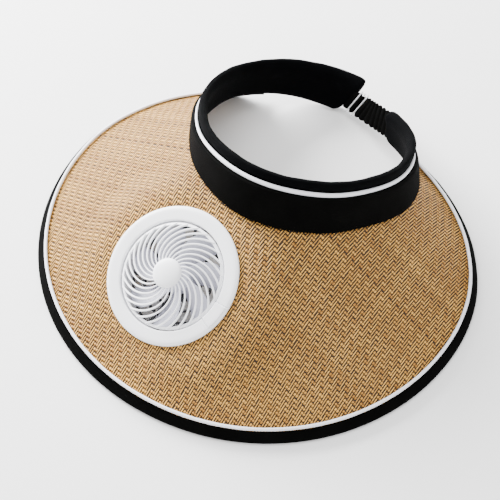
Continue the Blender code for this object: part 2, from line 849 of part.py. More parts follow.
def add_strap_slider(group):
    """Three bars joined at both ends: the strap passes under, over and under them."""
    start, _, ahead, _, upright = strap_frame()
    centre = start + SLIDER_FROM_TAIL * ahead
    side = (upright + TAIL_LEAN * ahead).normalized()
    half = 0.5 * SLIDER_LENGTH
    half_bar = 0.5 * SLIDER_BAR
    work = bmesh.new()
    xs = [bar * SLIDER_PITCH + edge for bar in (-1, 0, 1) for edge in (-half_bar, half_bar)]
    ys = (-half, -half + SLIDER_END, half - SLIDER_END, half)
    points = [[work.verts.new(centre + x * ahead + y * side) for x in xs] for y in ys]
    for j in range(3):
        for i in range(5):
            if j != 1 or i % 2 == 0:
                quad = (points[j][i], points[j][i + 1], points[j + 1][i + 1], points[j + 1][i])
                work.faces.new(quad)
    mesh = bpy.data.meshes.new("strap_slider")
    work.to_mesh(mesh)
    work.free()
    item = add_object("strap_slider", mesh, group, "white_plastic", smooth=False)
    add_solidify(item, SLIDER_THICKNESS, 0.0)
    return item


def centre_on_floor(group, cutters):
    """Carry every piece on one empty, so the origin is under the middle of the hat."""
    carrier = bpy.data.objects.new("hat_carrier", None)
    bpy.context.scene.collection.objects.link(carrier)
    for item in list(group.objects) + list(cutters.objects):
        item.parent = carrier
    carrier.location = (0.0, SET_BACK, 0.0)


def main():
    clear_scene()
    group = new_collection(NAME)
    cutters = new_collection("cutters")
    frame = fan_frame()
    add_brim(group, cutters, frame)
    add_binding(group)
    add_brim_piping(group)
    add_headband(group)
    add_band_piping(group)
    add_sweatband(group)
    add_elastic_strap(group)
    add_strap_slider(group)
    add_fan_ring(group, frame)
    add_fan_housing(group, frame)
    add_fan_grille(group, frame)
    add_rear_guard(group, frame)
    add_fan_motor(group, frame)
    add_fan_rotor(group, cutters, frame)
    centre_on_floor(group, cutters)


main()
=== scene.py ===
"""Fan hat: the looks of a woven straw sun visor with a padded band and a fan in its brim.

Metres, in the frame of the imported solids: the front of the brim faces -Y and the floor is
Z = 0. Angles round the head loop start at the front and grow towards +X.
"""

import math

import bmesh
import bpy
import numpy as np
from bpy.props import FloatProperty, FloatVectorProperty, IntProperty, PointerProperty
from mathutils import Matrix, Vector
from mathutils.bvhtree import BVHTree


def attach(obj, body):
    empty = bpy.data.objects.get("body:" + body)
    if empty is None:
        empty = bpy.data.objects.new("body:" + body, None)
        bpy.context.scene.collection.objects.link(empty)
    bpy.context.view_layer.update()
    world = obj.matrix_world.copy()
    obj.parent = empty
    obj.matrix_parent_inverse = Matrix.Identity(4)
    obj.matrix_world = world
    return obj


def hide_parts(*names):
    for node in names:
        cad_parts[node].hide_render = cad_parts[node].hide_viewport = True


bl_info = {
    "name": "Fan Hat",
    "version": (1, 0, 0),
    "blender": (4, 5, 0),
    "location": "View3D > Sidebar > Fan Hat",
    "description": "Builds a woven straw visor with a padded band and a small fan in its brim",
    "category": "Add Mesh",
}

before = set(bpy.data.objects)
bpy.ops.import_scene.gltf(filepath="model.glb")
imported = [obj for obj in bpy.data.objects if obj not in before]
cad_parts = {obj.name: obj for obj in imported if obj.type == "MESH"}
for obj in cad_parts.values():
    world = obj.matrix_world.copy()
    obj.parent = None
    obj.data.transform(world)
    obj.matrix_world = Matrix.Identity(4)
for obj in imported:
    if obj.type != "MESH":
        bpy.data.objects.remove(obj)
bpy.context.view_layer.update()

MM = 0.001
GAP = 0.3 * MM
MERGE_DISTANCE = 0.005 * MM
SHARP_ANGLE = math.radians(42.0)

# Head loop and band, as the solids have them
LOOP_HEIGHT = 65.3 * MM
LOOP_TILT = math.radians(26.5)
SET_BACK = 78.8 * MM
# Band, in mm: angle, radius, drop to the lower edge, rise of the roll, flare of the foot
BAND_ROWS = np.array((
    (-182, 100.0, 22.0, 14.0, 0.0),
    (-165, 99.5, 21.0, 14.5, 0.5),
    (-150, 98.5, 19.5, 14.0, 1.0),
    (-120, 95.0, 19.5, 12.0, 1.5),
    (-90, 91.0, 21.5, 10.5, 0.0),
    (-60, 91.5, 22.0, 9.5, -2.0),
    (-30, 97.0, 26.5, 9.0, -1.5),
    (0, 101.0, 31.0, 9.0, 1.0),
    (30, 95.5, 31.0, 9.0, 2.5),
    (60, 88.0, 29.5, 9.0, 3.0),
    (90, 87.0, 26.5, 9.0, 7.5),
    (120, 88.5, 22.5, 8.5, 7.5),
    (152, 88.0, 19.0, 7.0, 3.0),
))
BAND_START = -182.0
BAND_STOP = 152.0
BAND_STEPS = 300
TAIL_LENGTH = 26.0 * MM
TAIL_LEAN = 0.50
TAIL_ROUND = 0.4 * TAIL_LENGTH
TAIL_END_SHARE = 0.55
TAIL_PILLOW = 3.5 * MM
TAIL_PUFF = 2.5 * MM
PIPING_INSET = 1.6 * MM
PIPING_FROM = -166.0
PIPING_TO = 141.0
# Band cord, in mm: angle, radius
CORD_ROWS = np.array((
    (-166, 0.6), (-130, 0.65), (-90, 0.7), (-55, 1.0), (-20, 1.5),
    (20, 1.75), (70, 1.5), (110, 1.2), (141, 0.8),
))
ROLL_MIDDLE_INSET = 5.2 * MM
ROLL_SEAM_SHARE = 0.10
ROLL_SEAM_WIDTH = 1.6 * MM
PUFF_FROM = 80.0
PUFF_SPAN = 45.0

# Section of the padded roll, in mm: inset, height, share of the drop, share of the rise
ROLL_SECTION = (
    (0.5, 0.0, -1.0, 0.0),
    (0.5, -3.6, 0.0, 0.0),
    (3.95, -1.5, 0.0, 0.0),
    (3.95, 1.3, 0.0, 0.0),
    (2.8, 0.0, 0.0, 0.29),
    (2.0, 0.0, 0.0, 0.60),
    (2.9, 0.0, 0.0, 0.98),
    (6.4, 0.0, 0.0, 1.02),
    (9.0, 0.0, 0.0, 0.68),
    (9.0, 0.0, 0.0, 0.26),
    (7.5, -2.5, 0.0, 0.0),
    (6.4, 0.0, -0.5, 0.0),
    (5.6, 0.0, -1.0, 0.0),
)
# Section of the band's wall, in mm: inset, height, share of the drop
WALL_SECTION = (
    (0.1, -2.5, 0.0),
    (-0.7, -2.3, 0.0),
    (-1.6, -2.8, 0.0),
    (-2.0, -4.0, 0.0),
    (-2.15, -1.5, -0.25),
    (-2.2, 0.0, -0.50),
    (-2.15, 0.0, -0.75),
    (-2.0, 1.2, -1.0),
    (-1.5, 0.3, -1.0),
    (-0.8, 0.0, -1.0),
    (-0.1, 0.6, -1.0),
    (0.1, 0.0, -0.6),
)

# Brim, in mm: angle from the front, horizontal reach of its edge
BRIM_ROWS = np.array((
    (0, 249.7), (15, 247.0), (30, 238.0), (45, 223.0), (60, 203.3),
    (75, 180.0), (90, 152.0), (105, 125.5), (119, 106.0), (134, 93.0),
))
BRIM_END = 132.0
BRIM_STEPS = 192
TAPER_FROM = 116.0
TAPER_SHARE = 0.35
BRIM_THICKNESS = 1.4 * MM
BRIM_FLANGE = 6.0 * MM
FLANGE_SHARE = 0.4
BINDING_WIDTH = 10.5 * MM
BINDING_MOST = 0.5
BINDING_SLOPE = math.radians(48.0)
BINDING_STEEPER = math.radians(20.0)
BINDING_CLOTH = 0.8 * MM
BINDING_SLACK = 0.55 * MM
EDGE_REST = 0.62 * MM
EDGE_PIPING_RADIUS = 1.3 * MM
EDGE_PIPING_BACK = 0.8 * MM
TUCKED_SHARE = 0.55
TAPE_START = 0.05
TAPE_SLOT_END = 0.90
# Upper half of the binding's section: share of its width, and height as a share of its half thickness
TAPE_TOP = (
    (TAPE_START, 0.72), (0.065, 0.97), (0.12, 1.06), (0.35, 1.06),
    (0.55, 1.03), (0.75, 0.97), (0.90, 0.80), (0.975, 0.45),
)
TAPE_SECTION = (*TAPE_TOP, (1.0, 0.0), *((share, -height) for share, height in reversed(TAPE_TOP)))

# Weave
STRIP_NOTES = ("tone", "run", "side", "lift")
STRIP_DRIFT = 0.05
STRIP_SPREAD = 0.07
FLOAT_SHARE = 0.29
SHORTEST_RUN = 4
# Thickness of the sheet of painted shade in the cloth's middle
SHADE_SHEET_THICKNESS = 0.10 * MM
FLANGE_STEPS = 2
STRAW_STEPS = 30
TUCKED_STEPS = 4
FIT_ROUNDS = 600
TINY = 1e-30

# Fan in the brim
FAN_ANGLE = -10.6
FAN_SHARE = 0.43
FLAT_RADIUS = 56.0 * MM
BLEND_RADIUS = 100.0 * MM
FLAT_FADE_AT_FOLD = 0.05
FLAT_FADE_AT_EDGE = 0.20
STRAW_HOLE_RADIUS = 47.0 * MM
HOLE_RADIUS = 44.8 * MM
RING_OUTER = 54.3 * MM
RING_INNER = 42.8 * MM
RING_THICKNESS = 2.4 * MM
RING_STEP = 1.8
LATCH_HALF_ANGLE = 10.7
LATCH_RAMP = 0.5
LATCH_RAISE = 0.9 * MM
SEAM_ANGLE = 169.5
SEAM_HALF_ANGLE = 0.55
SEAM_DEPTH = 0.9 * MM
FLANGE_RADIUS = 47.6 * MM
FLANGE_THICKNESS = 1.6 * MM
DUCT_DEPTH = 19.0 * MM
DUCT_WALL = 1.6 * MM
RIB_SWEEP = math.radians(-62.0)
RIB_BEND = 1.15
GRILLE_RIM = 42.3 * MM
GRILLE_RING = 39.6 * MM
GRILLE_EDGE = 41.5 * MM
GRILLE_SHIFT = 0.35 * MM
GRILLE_CAP = 11.0 * MM
GRILLE_RISE = 10.5 * MM
GRILLE_ROUNDNESS = 2.4
CAP_RISE = 2.6 * MM
GRILLE_SEAT = 0.6
RIB_RADIUS = 0.52 * MM
RIB_GROWTH = 0.30 * MM
RIB_DROP = 0.75 * MM
RIB_FLATNESS = 1.15
GUARD_SPOKES = 12
GUARD_THICKNESS = 1.6 * MM
GUARD_SOFT = 0.35 * MM
GUARD_RINGS = (42.5 * MM, 32.6 * MM, 23.6 * MM)
GUARD_HALF_RING = 1.0 * MM
GUARD_RIM = 1.9 * MM
GUARD_DISC = 15.8 * MM
SPOKE_START = 15.0 * MM
SPOKE_RADIUS = 1.2 * MM
SPOKE_FLATNESS = 0.6
MOTOR_RADIUS = 9.0 * MM
MOTOR_HEIGHT = 7.5 * MM
SHAFT_RADIUS = 1.2 * MM
SHAFT_LENGTH = 5.0 * MM
HUB_RADIUS = 12.0 * MM
HUB_HEIGHT = 7.6 * MM
BLADE_ROOT = 9.0 * MM
BLADE_REACH = 39.4 * MM
BLADE_HALF_THICKNESS = 0.62 * MM
BLADE_CAMBER = 0.7 * MM
BLADE_CORNER = 0.30
BLADE_CORNER_FROM = 0.8
# Blade: share of the way out, chord in mm, pitch and lag in degrees
BLADE_SECTIONS = np.array((
    (0.0, 12.0, 40.0, 0.0),
    (0.35, 18.5, 32.0, -3.3),
    (0.7, 22.0, 26.0, -9.4),
    (1.0, 23.5, 22.0, -16.0),
))

# Back closure
STRAP_INSET = 4.0 * MM
STRAP_START_INSET = 7.0 * MM
STRAP_HEIGHT = -10.0 * MM
STRAP_START_HEIGHT = -13.0 * MM
STRAP_HALF_WIDTH = 10.1 * MM
STRAP_THICKNESS = 1.5 * MM
THREADED_THICKNESS = 0.9 * MM
STRAP_GATHERS = 7
STRAP_SCALLOP = 1.5 * MM
STRAP_PUFF = 1.3 * MM
STRAP_TUCK = 2.0 * MM
STRAP_LEAN_SHARE = 0.6
STRAP_ROWS = 220
STRAP_SIDES = 28
SLIDER_FROM_TAIL = 7.5 * MM
SLIDER_PITCH = 3.5 * MM
SLIDER_HALF_BAR = 0.6 * MM
SLIDER_HALF_LENGTH = 14.5 * MM
SLIDER_FLATNESS = 0.85
SLIDER_ZONE = 1.5 * SLIDER_PITCH
WEAVE_DEPTH = 1.6 * MM

# Stage: places and sizes in metres
FLOOR_SIZE = 8.0
KEY_PLACE = (-1.25, 0.50, 0.60)
KEY_SIZE = 0.9
FILL_PLACE = (-0.3, 0.2, 1.7)
FILL_SIZE = 1.2

# Camera, where the photograph was taken from
CAMERA_PLACE = Vector((0.3571, -0.6539, 1.1383))
CAMERA_AZIMUTH = math.radians(29.2)
CAMERA_ELEVATION = math.radians(56.8)
CAMERA_FOCAL_PIXELS = 1700.0
IMAGE_PIXELS = 500.0
SENSOR_WIDTH = 36.0


def length_setting(name, description, size, least=0.0):
    return FloatProperty(name=name, description=description, default=size, min=least, precision=5,
                         unit="LENGTH")


def colour_setting(name, description, colour):
    return FloatVectorProperty(name=name, description=description, default=colour, min=0.0, max=1.0,
                               subtype="COLOR")


class StrawSettings(bpy.types.PropertyGroup):
    """Sizes and colours of the woven straw"""

    warp_pitch: length_setting("Warp pitch", "Distance between strips that run to the front",
                               2.02 * MM, least=1.2 * MM)
    weft_pitch: length_setting("Weft pitch", "Distance between strips that run across",
                               3.3 * MM, least=1.2 * MM)
    warp_width: length_setting("Warp width", "Width of a strip that runs to the front", 1.36 * MM)
    weft_width: length_setting("Weft width", "Width of a strip that runs across", 2.50 * MM)
    thickness: length_setting("Strip thickness", "Thickness in the middle of a strip", 0.22 * MM)
    lift: length_setting("Lift", "How far a strip stands over the cloth's middle at a float", 0.14 * MM)
    turn: FloatProperty(name="Turn", description="Angle of the warp from the hat's own front",
                        default=math.radians(-8.0), subtype="ANGLE")
    pale: colour_setting("Pale straw", "Colour of the lightest strips", (0.88, 0.480, 0.105))
    deep: colour_setting("Deep straw", "Colour of the darkest strips", (0.38, 0.160, 0.026))
    # Painted shade: the colour of the shade deep between the strips, used for the sheet under them and for
    # the strips' shaded edges, dips and creases
    gap: colour_setting("Between strips", "Colour deep between the strips", (0.018, 0.009, 0.004))


class ClothSettings(bpy.types.PropertyGroup):
    """Colours and softness of the sewn pieces"""

    band: colour_setting("Band", "Colour of the band's outer cloth", (0.0012, 0.0012, 0.0011))
    roll: colour_setting("Roll", "Colour of the padded roll's knit", (0.0009, 0.0010, 0.0012))
    cord: colour_setting("Cord", "Colour of both white cords", (0.93, 0.93, 0.99))
    softness: length_setting("Softness", "How far the padding swells and dips", 0.32 * MM)
    pucker: length_setting("Pucker", "Depth of the small puckers along the seams", 0.12 * MM)


class FanSettings(bpy.types.PropertyGroup):
    """Counts and colours of the fan"""

    ribs: IntProperty(name="Ribs", description="Number of curved ribs of the front guard", default=28, min=8)
    blades: IntProperty(name="Blades", description="Number of blades", default=7, min=3)
    plastic: colour_setting("Plastic", "Colour of the white plastic", (0.95, 0.955, 0.98))
    # Partly painted shade: the rear guard's plastic is coloured near black, darker than its own colour, so
    # the slots seen through the grille look shaded.
    guard: colour_setting("Rear guard", "Colour of the rear guard's plastic", (0.045, 0.045, 0.048))
    # Painted shade: the hub and blades are white plastic, and this darker lilac-tinted tone stands for the
    # shade inside the duct.
    blade: colour_setting("Blades' plastic", "Colour of the hub and its blades", (0.50, 0.50, 0.58))
    metal: colour_setting("Metal", "Colour of the motor's can", (0.46, 0.46, 0.48))


class StageSettings(bpy.types.PropertyGroup):
    """Floor and lights"""

    floor: colour_setting("Floor", "Colour of the floor", (0.97, 0.97, 0.97))
    key: FloatProperty(name="Key light", description="Power of the large light at the left",
                       default=138.0, min=0.0, unit="POWER")
    fill: FloatProperty(name="Fill light", description="Power of the overhead light",
                        default=14.0, min=0.0, unit="POWER")
    sky: FloatProperty(name="Surroundings", description="Brightness all round", default=1.58, min=0.0)


def table_value(rows, at, column):
    """Read one column of a table by a smooth curve through its rows."""
    keys = rows[:, 0]
    values = rows[:, column]
    slopes = np.gradient(values, keys)
    low = int(np.clip(np.searchsorted(keys, at) - 1, 0, len(keys) - 2))
    span = keys[low + 1] - keys[low]
    t = (at - keys[low]) / span
    start = values[low] * (1 + 2 * t) * (1 - t) ** 2 + slopes[low] * span * t * (1 - t) ** 2
    stop = values[low + 1] * t * t * (3 - 2 * t) + slopes[low + 1] * span * t * t * (t - 1)
    return start + stop


def ease(value):
    value = min(max(value, 0.0), 1.0)
    return value * value * (3.0 - 2.0 * value)


def spread(start, stop, steps):
    return [start + (stop - start) * i / steps for i in range(steps + 1)]


def ripple(at, seed):
    """A smooth repeatable wobble between about -1 and 1."""
    wobble = math.sin(at + 1.7 * seed) + 0.6 * math.sin(2.3 * at + seed) + 0.4 * math.sin(4.1 * at - seed)
    return wobble / 2.0


def round_turn(steps):
    """Even angles round a full turn."""
    return np.arange(steps) * math.tau / steps


def loop_point(angle, radius, height, along=0.0):
    """A point by its place round the loop, its radius and its height over the piping."""
    turn = math.radians(angle)
    x = radius * math.sin(turn) + along * math.cos(turn)
    y = -radius * math.cos(turn) + along * math.sin(turn)
    sine, cosine = math.sin(LOOP_TILT), math.cos(LOOP_TILT)
    return Vector((x, y * cosine + height * sine + SET_BACK, LOOP_HEIGHT - y * sine + height * cosine))


def band_size(angle):
    """Radius, drop, rise and flare of the band at an angle."""
    return [table_value(BAND_ROWS, angle, column) * MM for column in (1, 2, 3, 4)]


def tail_shape(angle):
    """Share of the full height kept near an end of the band, its lean and the distance to the end."""
    radius = band_size(angle)[0]
    from_start = math.radians(angle - BAND_START) * radius
    near = min(from_start, math.radians(BAND_STOP - angle) * radius)
    rounded = 1.0
    if near < TAIL_ROUND:
        arc = math.sqrt(max(0.0, 1.0 - (1.0 - near / TAIL_ROUND) ** 2))
        rounded = TAIL_END_SHARE + (1.0 - TAIL_END_SHARE) * arc
    return rounded, -TAIL_LEAN * (1.0 - ease(from_start / TAIL_LENGTH)), near


def band_point(angle, inset, height):
    """A point of the band by its inset from the piping's outer side and its height."""
    radius, drop, _, flare = band_size(angle)
    rounded, lean, _ = tail_shape(angle)
    out = flare * max(0.0, -height / drop)
    height *= rounded
    return loop_point(angle, radius + out - inset, height, along=lean * height)


def band_angles():
    """Angles round the band, closer near both ends, where the section is rounded off."""
    ends = [0.0, 0.15, 0.4, 0.8, 1.3, 1.9]
    start = [BAND_START + step for step in ends]
    stop = [BAND_STOP - step for step in reversed(ends)]
    return start[:-1] + spread(start[-1], stop[0], BAND_STEPS) + stop[1:]


def brim_lines(angle):
    """The lines that the brim hangs between: flange, fold, piping line and edge."""
    radius, drop, _, flare = band_size(angle)
    under = -drop - GAP - 0.5 * BRIM_THICKNESS
    fold = loop_point(angle, radius + flare, under)
    flange = loop_point(angle, radius + flare - BRIM_FLANGE, under)
    mirrored = np.vstack((BRIM_ROWS[:0:-1] * (-1, 1), BRIM_ROWS))
    reach = table_value(mirrored, angle, 1) * MM
    turn = math.radians(angle)
    edge = Vector((reach * math.sin(turn), SET_BACK - reach * math.cos(turn), EDGE_REST))
    narrowed = TAPER_SHARE * ease((abs(angle) - TAPER_FROM) / (BRIM_END - TAPER_FROM))
    edge = fold.lerp(edge, 1.0 - narrowed)
    width = min(BINDING_WIDTH, BINDING_MOST * (edge - fold).length)
    inward = Vector((fold.x - edge.x, fold.y - edge.y, 0.0)).normalized()
    slope = BINDING_SLOPE + BINDING_STEEPER * narrowed
    line = edge + width * (math.cos(slope) * inward + math.sin(slope) * Vector((0, 0, 1)))
    return flange, fold, line, edge


def ruled_point(angle, share):
    _, fold, line, _ = brim_lines(angle)
    return fold.lerp(line, share)


def fan_frame():
    """Fan centre on the brim and its axes: sideways, up the slope, and outwards."""
    aside = 4.0
    along = 0.1
    centre = ruled_point(FAN_ANGLE, FAN_SHARE)
    across = ruled_point(FAN_ANGLE + aside, FAN_SHARE) - ruled_point(FAN_ANGLE - aside, FAN_SHARE)
    down = ruled_point(FAN_ANGLE, FAN_SHARE + along) - ruled_point(FAN_ANGLE, FAN_SHARE - along)
    axis = down.cross(across).normalized()
    if axis.z < 0.0:
        axis = -axis
    side = Vector((0, 0, 1)).cross(axis).normalized()
    place = Matrix((side, axis.cross(side), axis)).transposed().to_4x4()
    place.translation = centre
    return place


FAN = fan_frame()
FAN_INVERSE = FAN.inverted()
RING_SEAT = 0.5 * BRIM_THICKNESS + GAP
RING_TOP = RING_SEAT + RING_THICKNESS
GUARD_TOP = -0.5 * BRIM_THICKNESS - 2.0 * GAP - DUCT_DEPTH
MOTOR_BASE = GUARD_TOP + GAP
HUB_BASE = GUARD_TOP + 2.0 * GAP + MOTOR_HEIGHT


def flattened(point, share):
    """Press the brim flat under the fan's ring, and blend back to the free surface."""
    local = FAN_INVERSE @ point
    distance = math.hypot(local.x, local.y)
    keep = 1.0 - ease((distance - FLAT_RADIUS) / (BLEND_RADIUS - FLAT_RADIUS))
    keep *= ease(share / FLAT_FADE_AT_FOLD) * ease((1.0 - share) / FLAT_FADE_AT_EDGE)
    local.z *= 1.0 - keep
    return FAN @ local


def edge_normal(angle, out):
    """The upward normal of the brim at its edge, square to a direction out along it."""
    step = 0.5
    normal = out.cross(brim_lines(angle + step)[3] - brim_lines(angle - step)[3]).normalized()
    return normal if normal.z > 0.0 else -normal


def closed_curve(points, steps):
    """A smooth closed curve through points, with a number of steps between each two."""
    points = np.asarray(points, float)
    before, after, beyond = (np.roll(points, shift, 0) for shift in (1, -1, -2))
    slope = after - before
    bend = 2 * before - 5 * points + 4 * after - beyond
    twist = 3 * points - before - 3 * after + beyond
    out = [0.5 * (2 * points + slope * t + bend * t ** 2 + twist * t ** 3) for t in np.arange(steps) / steps]
    return np.stack(out, 1).reshape(-1, points.shape[1])


def set_attribute(mesh, name, values):
    layer = mesh.attributes.new(name, "FLOAT", "POINT")
    layer.data.foreach_set("value", np.asarray(values, np.float32).ravel())


def skin(name, rows, closed_path=False, merge=0.0):
    """Skin a closed solid over rows of closed sections, and note how far along and around each point is."""
    rows = np.asarray(rows, float)
    count, width = rows.shape[:2]
    steps = count if closed_path else count - 1
    i, j = np.meshgrid(np.arange(steps), np.arange(width), indexing="ij")
    here, there, turn = i * width, ((i + 1) % count) * width, (j + 1) % width
    faces = np.stack((here + j, here + turn, there + turn, there + j), -1).reshape(-1, 4).tolist()
    if not closed_path:
        faces.append(list(reversed(range(width))))
        faces.append(list(range((count - 1) * width, count * width)))
    mesh = bpy.data.meshes.new(name)
    mesh.from_pydata(rows.reshape(-1, 3).tolist(), [], faces)
    middle = rows.mean(1)
    along = np.concatenate(([0.0], np.cumsum(np.linalg.norm(np.diff(middle, axis=0), axis=1))))
    steps_around = np.linalg.norm(np.diff(rows, axis=1), axis=2)
    around = np.concatenate((np.zeros((count, 1)), np.cumsum(steps_around, 1)), 1)
    set_attribute(mesh, "along", np.repeat(along, width))
    set_attribute(mesh, "around", around)
    return tidy_mesh(mesh, merge)


def tidy_mesh(mesh, merge=0.0):
    """Merge doubled points, turn the faces outwards and shade the mesh smooth."""
    work = bmesh.new()
    work.from_mesh(mesh)
    if merge:
        bmesh.ops.remove_doubles(work, verts=work.verts, dist=merge)
        bmesh.ops.dissolve_degenerate(work, dist=merge, edges=work.edges)
    bmesh.ops.recalc_face_normals(work, faces=work.faces)
    work.to_mesh(mesh)
    work.free()
    mesh.shade_smooth()
    mesh.set_sharp_from_angle(angle=SHARP_ANGLE)
    return mesh


def join_meshes(name, meshes):
    """Join meshes into one that keeps their attributes."""
    work = bmesh.new()
    for mesh in meshes:
        work.from_mesh(mesh)
    joined = bpy.data.meshes.new(name)
    work.to_mesh(joined)
    work.free()
    for mesh in meshes:
        bpy.data.meshes.remove(mesh)
    joined.shade_smooth()
    joined.set_sharp_from_angle(angle=SHARP_ANGLE)
    return joined


def tube_rows(points, radii, sides, flat=1.0, up=(0.0, 0.0, 1.0)):
    """Rows of round or oval sections along a line of points."""
    points = np.asarray([tuple(p) for p in points], float)
    tangents = np.gradient(points, axis=0)
    tangents /= np.linalg.norm(tangents, axis=1)[:, None]
    radii = np.broadcast_to(radii, len(points))
    normal = np.array(up, float)
    turns = round_turn(sides)
    rows = []
    for point, tangent, radius in zip(points, tangents, radii):
        normal = normal - normal.dot(tangent) * tangent
        normal /= np.linalg.norm(normal)
        side = np.cross(tangent, normal)
        rows.append(point + radius * (np.cos(turns)[:, None] * side + flat * np.sin(turns)[:, None] * normal))
    return rows


def turned_mesh(name, profile, steps):
    """Turn a closed profile of (radius, height) points about the fan's axis."""
    radii, heights = np.asarray(profile, float).T
    rows = [np.stack((radii * math.cos(turn), radii * math.sin(turn), heights), 1)
            for turn in round_turn(steps)]
    return skin(name, rows, closed_path=True, merge=MERGE_DISTANCE)


def add_piece(mesh, material, body, node):
    """Link a mesh as a piece with its finish and its body, and hide the solid that it stands for."""
    piece = bpy.data.objects.new(mesh.name, mesh)
    bpy.context.scene.collection.objects.link(piece)
    mesh.materials.append(material)
    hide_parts(node)
    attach(piece, body)
    return piece


def add_fan_piece(mesh, material, body, node):
    """Move a mesh from the fan's own axes to its place in the brim, and add it."""
    mesh.transform(FAN)
    add_piece(mesh, material, body, node)


class Finish:
    """A material on the Principled shader, with short ways to add and join its nodes."""

    def __init__(self, name, colour, roughness, **sockets):
        self.material = bpy.data.materials.new(name)
        self.material.use_nodes = True
        self.tree = self.material.node_tree
        self.shader = self.tree.nodes["Principled BSDF"]
        self.feed("Base Color", colour)
        self.feed("Roughness", roughness)
        for socket, value in sockets.items():
            self.feed(socket.replace("_", " "), value)

    def put(self, socket, value):
        """Join another node's output to an input, or set the input to a number or a colour."""
        if isinstance(value, bpy.types.NodeSocket):
            self.tree.links.new(value, socket)
        elif isinstance(value, (int, float)):
            socket.default_value = value
        else:
            socket.default_value = (*value, 1.0)

    def feed(self, socket, value):
        """Set an input of the shader itself."""
        self.put(self.shader.inputs[socket], value)

    def add(self, kind, inputs, **properties):
        """Add a node with its properties, and its inputs by place or by name."""
        node = self.tree.nodes.new(kind)
        for key, value in properties.items():
            setattr(node, key, value)
        for key, value in inputs.items():
            self.put(node.inputs[key], value)
        return node

    def note(self, name):
        """An attribute of the mesh."""
        return self.add("ShaderNodeAttribute", {}, attribute_name=name).outputs["Fac"]

    def place(self):
        """Where a point of the piece is."""
        return self.add("ShaderNodeTexCoord", {}).outputs["Object"]

    def calculate(self, operation, *values):
        return self.add("ShaderNodeMath", dict(enumerate(values)), operation=operation).outputs[0]

    def blend(self, share, first, second):
        """A colour between two others."""
        return self.add("ShaderNodeMix", {0: share, 6: first, 7: second}, data_type="RGBA").outputs[2]

    def noise(self, vector, scale, detail=2.0, roughness=0.5):
        inputs = {"Vector": vector, "Scale": scale, "Detail": detail, "Roughness": roughness}
        return self.add("ShaderNodeTexNoise", inputs).outputs["Fac"]

    def combine(self, *values):
        return self.add("ShaderNodeCombineXYZ", dict(enumerate(values))).outputs[0]

    def stretch(self, value, low, high):
        """Stretch a texture's middle range to between two values."""
        return self.add("ShaderNodeMapRange", {0: value, 1: 0.3, 2: 0.7, 3: low, 4: high}).outputs[0]

    def bump(self, strength, distance, **inputs):
        """Bend the shader's normal by a height, after another bump where one is given."""
        inputs = {"Strength": strength, "Distance": distance, **inputs}
        normal = self.add("ShaderNodeBump", inputs).outputs[0]
        self.feed("Normal", normal)
        return normal


def scaled(colour, share):
    return tuple(min(1.0, share * part) for part in colour)


def straw_material(name, settings, crossing, share_pale, edge_shade, dip_shade, crease_shade):
    """Flat strips of paper straw: fibres along the strip, tone by strip, and painted shade making a strip
    darker at its edges, where it dips under and at the creases beside a crossing.
    """
    finish = Finish(name, settings.deep, 0.5, Specular_IOR_Level=0.25)
    calculate = finish.calculate
    tone, run, side, lift = (finish.note(note) for note in STRIP_NOTES)
    grain = finish.combine(calculate("MULTIPLY", run, 90.0), calculate("MULTIPLY", side, 2.6),
                           calculate("MULTIPLY", tone, 40.0))
    fibre = finish.noise(grain, scale=1.0, detail=3.0, roughness=0.6)
    cloudy = finish.noise(finish.place(), scale=28.0)
    pale = calculate("MULTIPLY", finish.stretch(fibre, 0.0, 1.0), 0.40)
    pale = calculate("ADD", pale, calculate("MULTIPLY", tone, 0.62))
    pale = calculate("ADD", pale, finish.stretch(cloudy, share_pale - 0.20, share_pale + 0.04))
    colour = finish.blend(pale, settings.deep, settings.pale)
    # Painted shade: a strip is coloured darker towards its edges, where it dips under the crossing strips and
    # at the creases beside each crossing, blended towards the colour of the shade between strips.
    edge = calculate("POWER", calculate("ABSOLUTE", side), 1.5)
    dip = calculate("SUBTRACT", 1.0, lift)
    beside = calculate("COSINE", calculate("MULTIPLY", run, math.tau / crossing))
    beside = calculate("MAXIMUM", calculate("MULTIPLY", beside, -1.0), 0.0)
    crease = calculate("POWER", beside, 2.6)
    painted_shade = calculate("ADD", calculate("MULTIPLY", edge, edge_shade), calculate("MULTIPLY", dip, dip_shade))
    painted_shade = calculate("ADD", painted_shade, calculate("MULTIPLY", crease, crease_shade))
    painted_shade = calculate("MINIMUM", painted_shade, 0.95)
    finish.feed("Base Color", finish.blend(painted_shade, colour, settings.gap))
    finish.feed("Roughness", finish.stretch(fibre, 0.42, 0.66))
    finish.bump(0.55, 0.12 * MM, Height=fibre)
    return finish.material


def gap_shade_material(settings):
    """Painted shade seen deep between the strips: a very deep brown, a little uneven."""
    finish = Finish("straw_shade_between", settings.gap, 0.9)
    uneven = finish.noise(finish.place(), scale=700.0)
    finish.feed("Base Color", finish.blend(uneven, settings.gap, scaled(settings.gap, 1.8)))
    return finish.material


def cloth_material(name, colour, grain, depth, sheen=0.004, roughness=0.88):
    """Fine woven or knitted cloth: ribs both ways from how far along and around a point is."""
    finish = Finish(name, colour, roughness, Specular_IOR_Level=0.02, Sheen_Weight=sheen,
                    Sheen_Roughness=0.45, Sheen_Tint=(0.86, 0.88, 1.0))
    calculate = finish.calculate
    along, around = (calculate("MULTIPLY", finish.note(way), math.tau / grain) for way in ("along", "around"))
    over = calculate("SINE", calculate("ADD", along, around))
    under = calculate("SINE", calculate("SUBTRACT", along, around))
    place = finish.place()
    worn = finish.stretch(finish.noise(place, scale=60.0, detail=3.0), 0.0, 1.0)
    finish.feed("Base Color", finish.blend(worn, colour, scaled(colour, 1.7)))
    weave = finish.bump(0.5, depth, Height=calculate("MULTIPLY", over, under))
    finish.bump(0.35, 0.5 * depth, Height=finish.noise(place, scale=1400.0), Normal=weave)
    return finish.material


